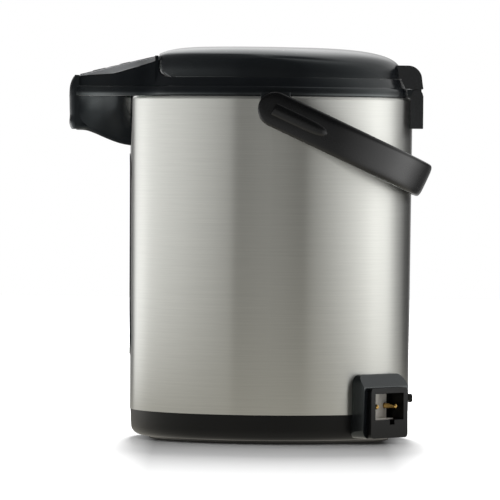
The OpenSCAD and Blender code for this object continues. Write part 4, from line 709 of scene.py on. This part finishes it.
# At each height the plan is a full, squarish front and a rear that lies against the beak
swing = np.radians(np.linspace(0.0, 180.0, 65))
swing_x = np.sign(np.cos(swing)) * np.abs(np.cos(swing)) ** 0.5
swing_y = np.abs(np.sin(swing)) ** 0.62
front_x = plate_w[:, None] * swing_x
middle = np.maximum(-146.0, front_y + 3.0)
front_pts = np.stack([front_x, middle[:, None] + (front_y - middle)[:, None] * swing_y,
                      plate_z[:, None] + 0 * front_x], -1)
rear_x = np.linspace(-1.0, 1.0, 41)
corner = 1.2 * (1 - np.sqrt(np.clip(1 - np.clip((np.abs(rear_x) - 0.9) / 0.1, 0, 1) ** 2, 0, 1)))
rear_pts = np.stack([plate_w[:, None] * rear_x, np.minimum(back_y[:, None] - corner, 0.0),
                     plate_z[:, None] + 0 * rear_x], -1)
loop = np.concatenate([front_pts, rear_pts], 1)
foot = loop[0]
bearing = np.arctan2(foot[:, 1] - SPOUT_Y, foot[:, 0])
hole = [np.stack([r * np.cos(bearing), r * np.sin(bearing) + SPOUT_Y, 0 * bearing + z], -1)
        for r, z in ((6.4, 241.0), (6.4, 234.2), (6.9, PLATE_FOOT))]
plate = joined("front_plate_guard", [(np.concatenate([np.stack(hole), loop], 0), False, True)], 40.0)
# Painted shade: the reflection is weaker on the plate's front face than on its sides
plate.data.materials.append(painted_sheen_gloss("plate_black_painted_sheen", 0.5, ("Y", -0.1535, -0.1475, 0.45, 0.9)))
plate.visible_glossy = False
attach(plate, "pot")
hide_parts("front_plate")

# ---- Lid --------------------------------------------------------------------------------------
# The cover is a domed gloss moulding cut off flat where it meets the nose. Its two front corners
# are scooped out, and it is open over the release lever and the steam vent.
LID_R, LID_Z, LID_H, DOME_POWER = 98.5, 273.4, 23.4, 3.3


def dome_height(r):
    """Height of the dome over its rim: one minus the radius's share to a power, to the inverse power."""
    return LID_H * (1.0 - np.clip(r / LID_R, 0.0, 1.0) ** DOME_POWER) ** (1.0 / DOME_POWER)


def dome_sheet(skin, sheet_steps):
    """The dome lowered by skin millimetres all over and cut off at the flat front. Its columns run
    from the front's middle to each corner and on to the rear, so the corner is always on a column."""
    rough_r = (LID_R - skin) * np.cos(sheet_steps) ** (2.0 / DOME_POWER)
    rough_z = (LID_H - skin) * np.sin(sheet_steps) ** (2.0 / DOME_POWER)
    rough_scoop = FILLET - np.sqrt(FILLET ** 2 - np.clip(FILLET - rough_z, 0, FILLET) ** 2)
    corner_sine = (-LID_FRONT - skin - rough_scoop) / np.maximum(rough_r, 1.0)
    corner = np.arcsin(np.clip(corner_sine, 0.5, 0.97))[:, None]
    to_corner = 1.0 - (1.0 - np.linspace(0.0, 1.0, 31)) ** 1.6
    to_rear = np.linspace(0.0, 1.0, 151)[1:] ** 1.6
    right = np.concatenate([-0.5 * math.pi + (0.5 * math.pi - corner) * to_corner,
                            -corner + (0.5 * math.pi + corner) * to_rear], 1)
    turn = np.concatenate([right, math.pi - right[:, ::-1][:, 1:-1]], 1)
    # The shoulder is fuller at the two sides
    fuller = (np.clip((np.abs(np.cos(turn)) - 0.15) / 0.4, 0.0, 1.0)
              * np.clip((0.6 - np.sin(turn)) / 1.4, 0.0, 1.0))
    power = DOME_POWER + 1.8 * fuller * fuller * (3.0 - 2.0 * fuller)
    r = (LID_R - skin) * np.cos(sheet_steps)[:, None] ** (2.0 / power)
    z = (LID_H - skin) * np.sin(sheet_steps)[:, None] ** (2.0 / power)
    x_guess = np.minimum(r, -LID_FRONT / np.maximum(-np.sin(turn), 1e-6)) * np.cos(turn)
    scoop = FILLET - np.sqrt(np.clip(FILLET ** 2 - np.clip(FILLET - z, 0, FILLET) ** 2, 0, None))
    # The flat front is scooped out past 34 mm from its middle, where the housing's horns come up
    side = np.clip((np.abs(x_guess) - 34.0) / 3.0, 0.0, 1.0)
    flat = -LID_FRONT - skin - side * side * (3 - 2 * side) * scoop
    limit = np.where(np.sin(turn) < -0.3, flat / np.maximum(-np.sin(turn), 0.3), 1e4)
    nearer, farther = np.minimum(r, limit), np.maximum(r, limit)
    kept = nearer * (1.0 + (nearer / farther) ** 200.0) ** (-1.0 / 200.0)
    return np.stack([kept * np.cos(turn), kept * np.sin(turn), LID_Z + z], -1)


fall = np.radians(np.concatenate([[89.9], np.linspace(89.0, 60.0, 16), np.linspace(58.0, 4.0, 52),
                                  [2.6, 1.4, 0.6, 0.15, 0.0]]))
cover_grid = np.concatenate([dome_sheet(0.0, fall), dome_sheet(2.4, fall[::-1][::2])], 0)
cover = joined("lid_dome", [(cover_grid, False, True)], 40.0)


def lever_outline(gap, steps=9):
    """Plan of the lever: an oblong with round front corners and a straight rear edge."""
    w, front, rear, r = 22.0 + gap, -75.6 - gap, -34.6 + gap, 6.0 + gap
    a = np.radians(np.linspace(0.0, 90.0, steps))
    left = np.stack([-w + r - r * np.sin(a[::-1]), front + r - r * np.cos(a[::-1])], -1)
    right = np.stack([w - r + r * np.sin(a), front + r - r * np.cos(a)], -1)
    return np.concatenate([left, right, [[w, rear], [-w, rear]]], 0)


def pierced(piece, *cutters):
    """Cuts each closed cutter out of the piece, then deletes the cutter."""
    for cutter in cutters:
        cut = piece.modifiers.new("cut", "BOOLEAN")
        cut.object, cut.operation, cut.solver = cutter, "DIFFERENCE", "EXACT"
        evaluated = piece.evaluated_get(bpy.context.evaluated_depsgraph_get())
        mesh = bpy.data.meshes.new_from_object(evaluated)
        piece.modifiers.clear()
        piece.data = mesh
        bpy.data.objects.remove(cutter)
    outwards(piece.data, 32.0)


opening = lever_outline(0.4)
well_grid = np.stack([np.c_[opening, 0 * opening[:, 0] + z] for z in (275.0, 310.0)])
lever_well = joined("lever_well", [(well_grid, False, True)])
round_turn = np.radians(np.linspace(0.0, 360.0, 97)[:-1])
VENT_Y = 48.0
vent_top = LID_Z + float(dome_height(VENT_Y))


def disc(x, y, profile):
    """A grid round an upright axis at x, y through (radius, height) pairs."""
    return np.stack([np.stack([x + r * np.cos(round_turn), y + r * np.sin(round_turn),
                               0 * round_turn + z], -1) for r, z in profile], 0)


vent_well = joined("vent_well", [(disc(0.0, VENT_Y, [(13.15, vent_top - 5.0), (13.15, 310.0)]), False, True)])
pierced(cover, lever_well, vent_well)
# A lip under the cover's edge closes the joint with the ring to a hair, so that no light passes
lip_turn = np.radians(np.linspace(-50.0, 230.0, 141))[:, None]
lip_r, lip_z = np.array([(96.6, 273.07), (97.4, 273.07), (97.5, 273.9), (96.5, 273.9)]).T
lip_grid = np.stack([lip_r * np.cos(lip_turn), lip_r * np.sin(lip_turn), lip_z + 0 * lip_turn], -1)
lip = joined("lid_lip", [(lip_grid, False, True)])
form = bmesh.new()
form.from_mesh(cover.data)
form.from_mesh(lip.data)
form.to_mesh(cover.data)
form.free()
bpy.data.objects.remove(lip)
outwards(cover.data, 32.0)
cover.data.materials.clear()
# Painted shade and highlight: the reflection is weaker at the flat front, towards the rear and low on the
# sides, and full on the crown
cover.data.materials.append(painted_sheen_gloss("lid_black_painted_sheen", 0.5, ("Y", -0.085, -0.076, 0.35, 1.0),
                                         ("Y", 0.03, 0.08, 1.0, 0.65), ("Z", 0.274, 0.279, 0.6, 1.0)))
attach(cover, "lid")
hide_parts("lid_cover")
dress(gloss_black, "steam_vent_cap")

# ---- Release lever ----------------------------------------------------------------------------
# A plate in the lid's crown, turning on a steel pin at its rear edge, with a shallow dish for the
# finger at its front. It is moulded in the lid's black with a slightly duller face.
PIVOT_Y, PIVOT_Z = -37.6, 293.2
plan = lever_outline(0.0, 13)
middle = np.array([0.0, -56.0])
steps = np.concatenate([np.linspace(0.0, 0.9, 19), [0.95, 0.975, 0.99, 1.0]])
top = middle + steps[:, None, None] * (plan - middle)
radius = np.hypot(top[..., 0], top[..., 1])
# The finger's dish, and the soft edge all round the plate
dish = 1.1 * np.exp(-((top[..., 0] / 11.0) ** 4) - ((top[..., 1] + 67.5) / 4.6) ** 2)
soft = 0.5 * np.clip((steps - 0.975) / 0.025, 0.0, 1.0) ** 2
top_z = LID_Z + dome_height(radius) - 0.3 - dish - soft[:, None]
# Behind the pin the plate keeps inside the barrel's round, so that it clears the lid as it turns
behind = np.clip(top[..., 1] - PIVOT_Y, 0.0, 3.2)
top_z = np.minimum(top_z, PIVOT_Z + np.sqrt(3.25 ** 2 - behind ** 2))
under = top[::-1]
under_z = np.minimum(LID_Z + dome_height(np.hypot(under[..., 0], under[..., 1])) - 2.9, top_z[::-1] - 0.7)
plate_grid = np.concatenate([np.concatenate([top, top_z[..., None]], -1),
                             np.concatenate([under, under_z[..., None]], -1)], 0)
barrel_x = np.array([-22.0, -21.6, 21.6, 22.0])
barrel_r = np.array([2.6, 3.0, 3.0, 2.6])
barrel = np.stack([0 * round_turn + barrel_x[:, None],
                   PIVOT_Y + barrel_r[:, None] * np.cos(round_turn),
                   PIVOT_Z + barrel_r[:, None] * np.sin(round_turn)], -1)
lever = joined("lid_lever", [(plate_grid, False, True), (barrel, False, True)], 40.0)
lever_black = moulded("lever_black", (0.0115, 0.0132, 0.0152), 0.26, 900.0, 0.000005)
shader_of(lever_black).inputs["Specular Tint"].default_value = cool_tint
lever.data.materials.append(lever_black)
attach(lever, "lever")
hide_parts("release_lever")

# ---- Bail handle ------------------------------------------------------------------------------
# A carrying bail of satin black plastic: one flat band bent round the pot, with round ends on
# steel pins and a half-round stiffening rib moulded on each arm.
BAIL_REST = math.radians(-24.8)
IN_X, OUT_X, IN_Y, OUT_Y, BAIL_HALF = 111.4, 119.4, 117.5, 127.0, 13.15


def powered(value, power):
    """The value's size to a power, with its own sign."""
    return np.sign(value) * np.abs(value) ** power


def bail_band(u, part):
    """Points on the band's midline at u from 0 (inner face) to 1 (outer): a bow of power 0.8 between
    straight ends. part runs from -1 at the right end through 0 to 1 and on to 2 at the left end."""
    bow = np.clip(part, 0.0, 1.0) * math.pi
    rx, ry = IN_X + (OUT_X - IN_X) * u, IN_Y + (OUT_Y - IN_Y) * u
    beyond = np.where(part < 0, part, np.where(part > 1, 1.0 - part, 0.0)) * BAIL_HALF
    return rx * powered(np.cos(bow), 0.8), ry * np.abs(np.sin(bow)) ** 0.8 + beyond


def laid_back(x, y, z):
    """Turns points from the bail's own level frame to its rest beside the pot."""
    return np.stack([x, BAIL_Y + y * math.cos(BAIL_REST) - z * math.sin(BAIL_REST),
                     BAIL_Z + y * math.sin(BAIL_REST) + z * math.cos(BAIL_REST)], -1)


end_turn = np.linspace(0.06, 0.5 * math.pi, 14)
way = np.concatenate([-np.cos(end_turn), 0.5 - 0.5 * np.cos(np.linspace(0.02, math.pi - 0.02, 150)),
                      1.0 + np.cos(end_turn[::-1])])[:, None]
past_end = np.where(way < 0, way, np.where(way > 1, way - 1.0, 0.0))
half = BAIL_HALF * np.sqrt(np.clip(1.0 - past_end ** 2, 0.003, 1.0))
lap = np.radians(np.arange(0.0, 360.0, 7.5) + 3.75)
across = 0.5 + 0.5 * powered(np.cos(lap), 0.5)
x, y = bail_band(across[None, :], way)
band = laid_back(x, y, half * powered(np.sin(lap), 0.42)[None, :])
grids = [(band, False, True)]
# Each rib starts beyond its pivot and ends where the arm begins to bend
RIB_START, RIB_END, RIB_HALF = 0.12, 0.083, 5.0
run = np.linspace(0.0, 1.0, 30)[:, None]
for start, stop in ((-RIB_START, RIB_END), (1.0 + RIB_START, 1.0 - RIB_END)):
    part = start + (stop - start) * run
    puff = np.clip(1.0 - np.abs(2.0 * run - 1.0) ** 7, 0.0004, 1.0) ** 0.5
    x, y = bail_band(0.96 + (0.26 * puff) * np.cos(lap)[None, :], part)
    grids.append((laid_back(x, y, RIB_HALF * puff * np.sin(lap)[None, :]), False, True))
bail = joined("carrying_bail", grids, 50.0)
bail_black = moulded("bail_black", (0.0028, 0.003, 0.0035), 0.27, 1300.0, 0.000008, shine=0.45)
bail.data.materials.append(bail_black)
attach(bail, "bail")
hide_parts("bail_handle")

# ---- Power inlet ------------------------------------------------------------------------------
# The inlet stands out of the lower rear wall on a gloss frame: a satin housing with an open
# socket, a plated steel plate for the plug's magnets, and two brass pins.
def softened(node, body, width, material, keep_angle=25.0):
    """A merged copy of a CAD node with its edges rounded off by width millimetres."""
    mesh = nodes[node].data.copy()
    mesh.name = node + "_soft"
    obj = bpy.data.objects.new(node + "_moulding", mesh)
    bpy.context.scene.collection.objects.link(obj)
    form = bmesh.new()
    form.from_mesh(mesh)
    bmesh.ops.remove_doubles(form, verts=form.verts, dist=2e-6)
    bmesh.ops.dissolve_limit(form, angle_limit=math.radians(0.6), verts=form.verts, edges=form.edges)
    form.to_mesh(mesh)
    form.free()
    bevel = obj.modifiers.new("rounded_edges", "BEVEL")
    bevel.width, bevel.segments = width * 0.001, 3
    bevel.limit_method, bevel.angle_limit = "ANGLE", math.radians(keep_angle)
    bevel.harden_normals = False
    mesh.shade_smooth()
    mesh.set_sharp_from_angle(angle=math.radians(keep_angle))
    mesh.materials.clear()
    mesh.materials.append(material)
    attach(obj, body)
    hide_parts(node)
    return obj


softened("inlet_frame", "pot", 0.7, gloss_black)
softened("inlet_housing", "pot", 0.5, satin_black)
keeper = moulded("plated_keeper", (0.82, 0.79, 0.73), 0.34, 900.0, 0.000004)
shader_of(keeper).inputs["Metallic"].default_value = 0.25
dress(keeper, "keeper_plate")
dress(turned_metal("contact_brass", (0.78, 0.5, 0.16), 0.2), "contact_pins")

# ---- Lid hinge --------------------------------------------------------------------------------
# A black block screwed to the rear of the ring carries the hinge pin between two ears. The lid's
# own half is a block on its rim with a leg that reaches down between them.
softened("hinge_block", "pot", 1.3, hinge_black)
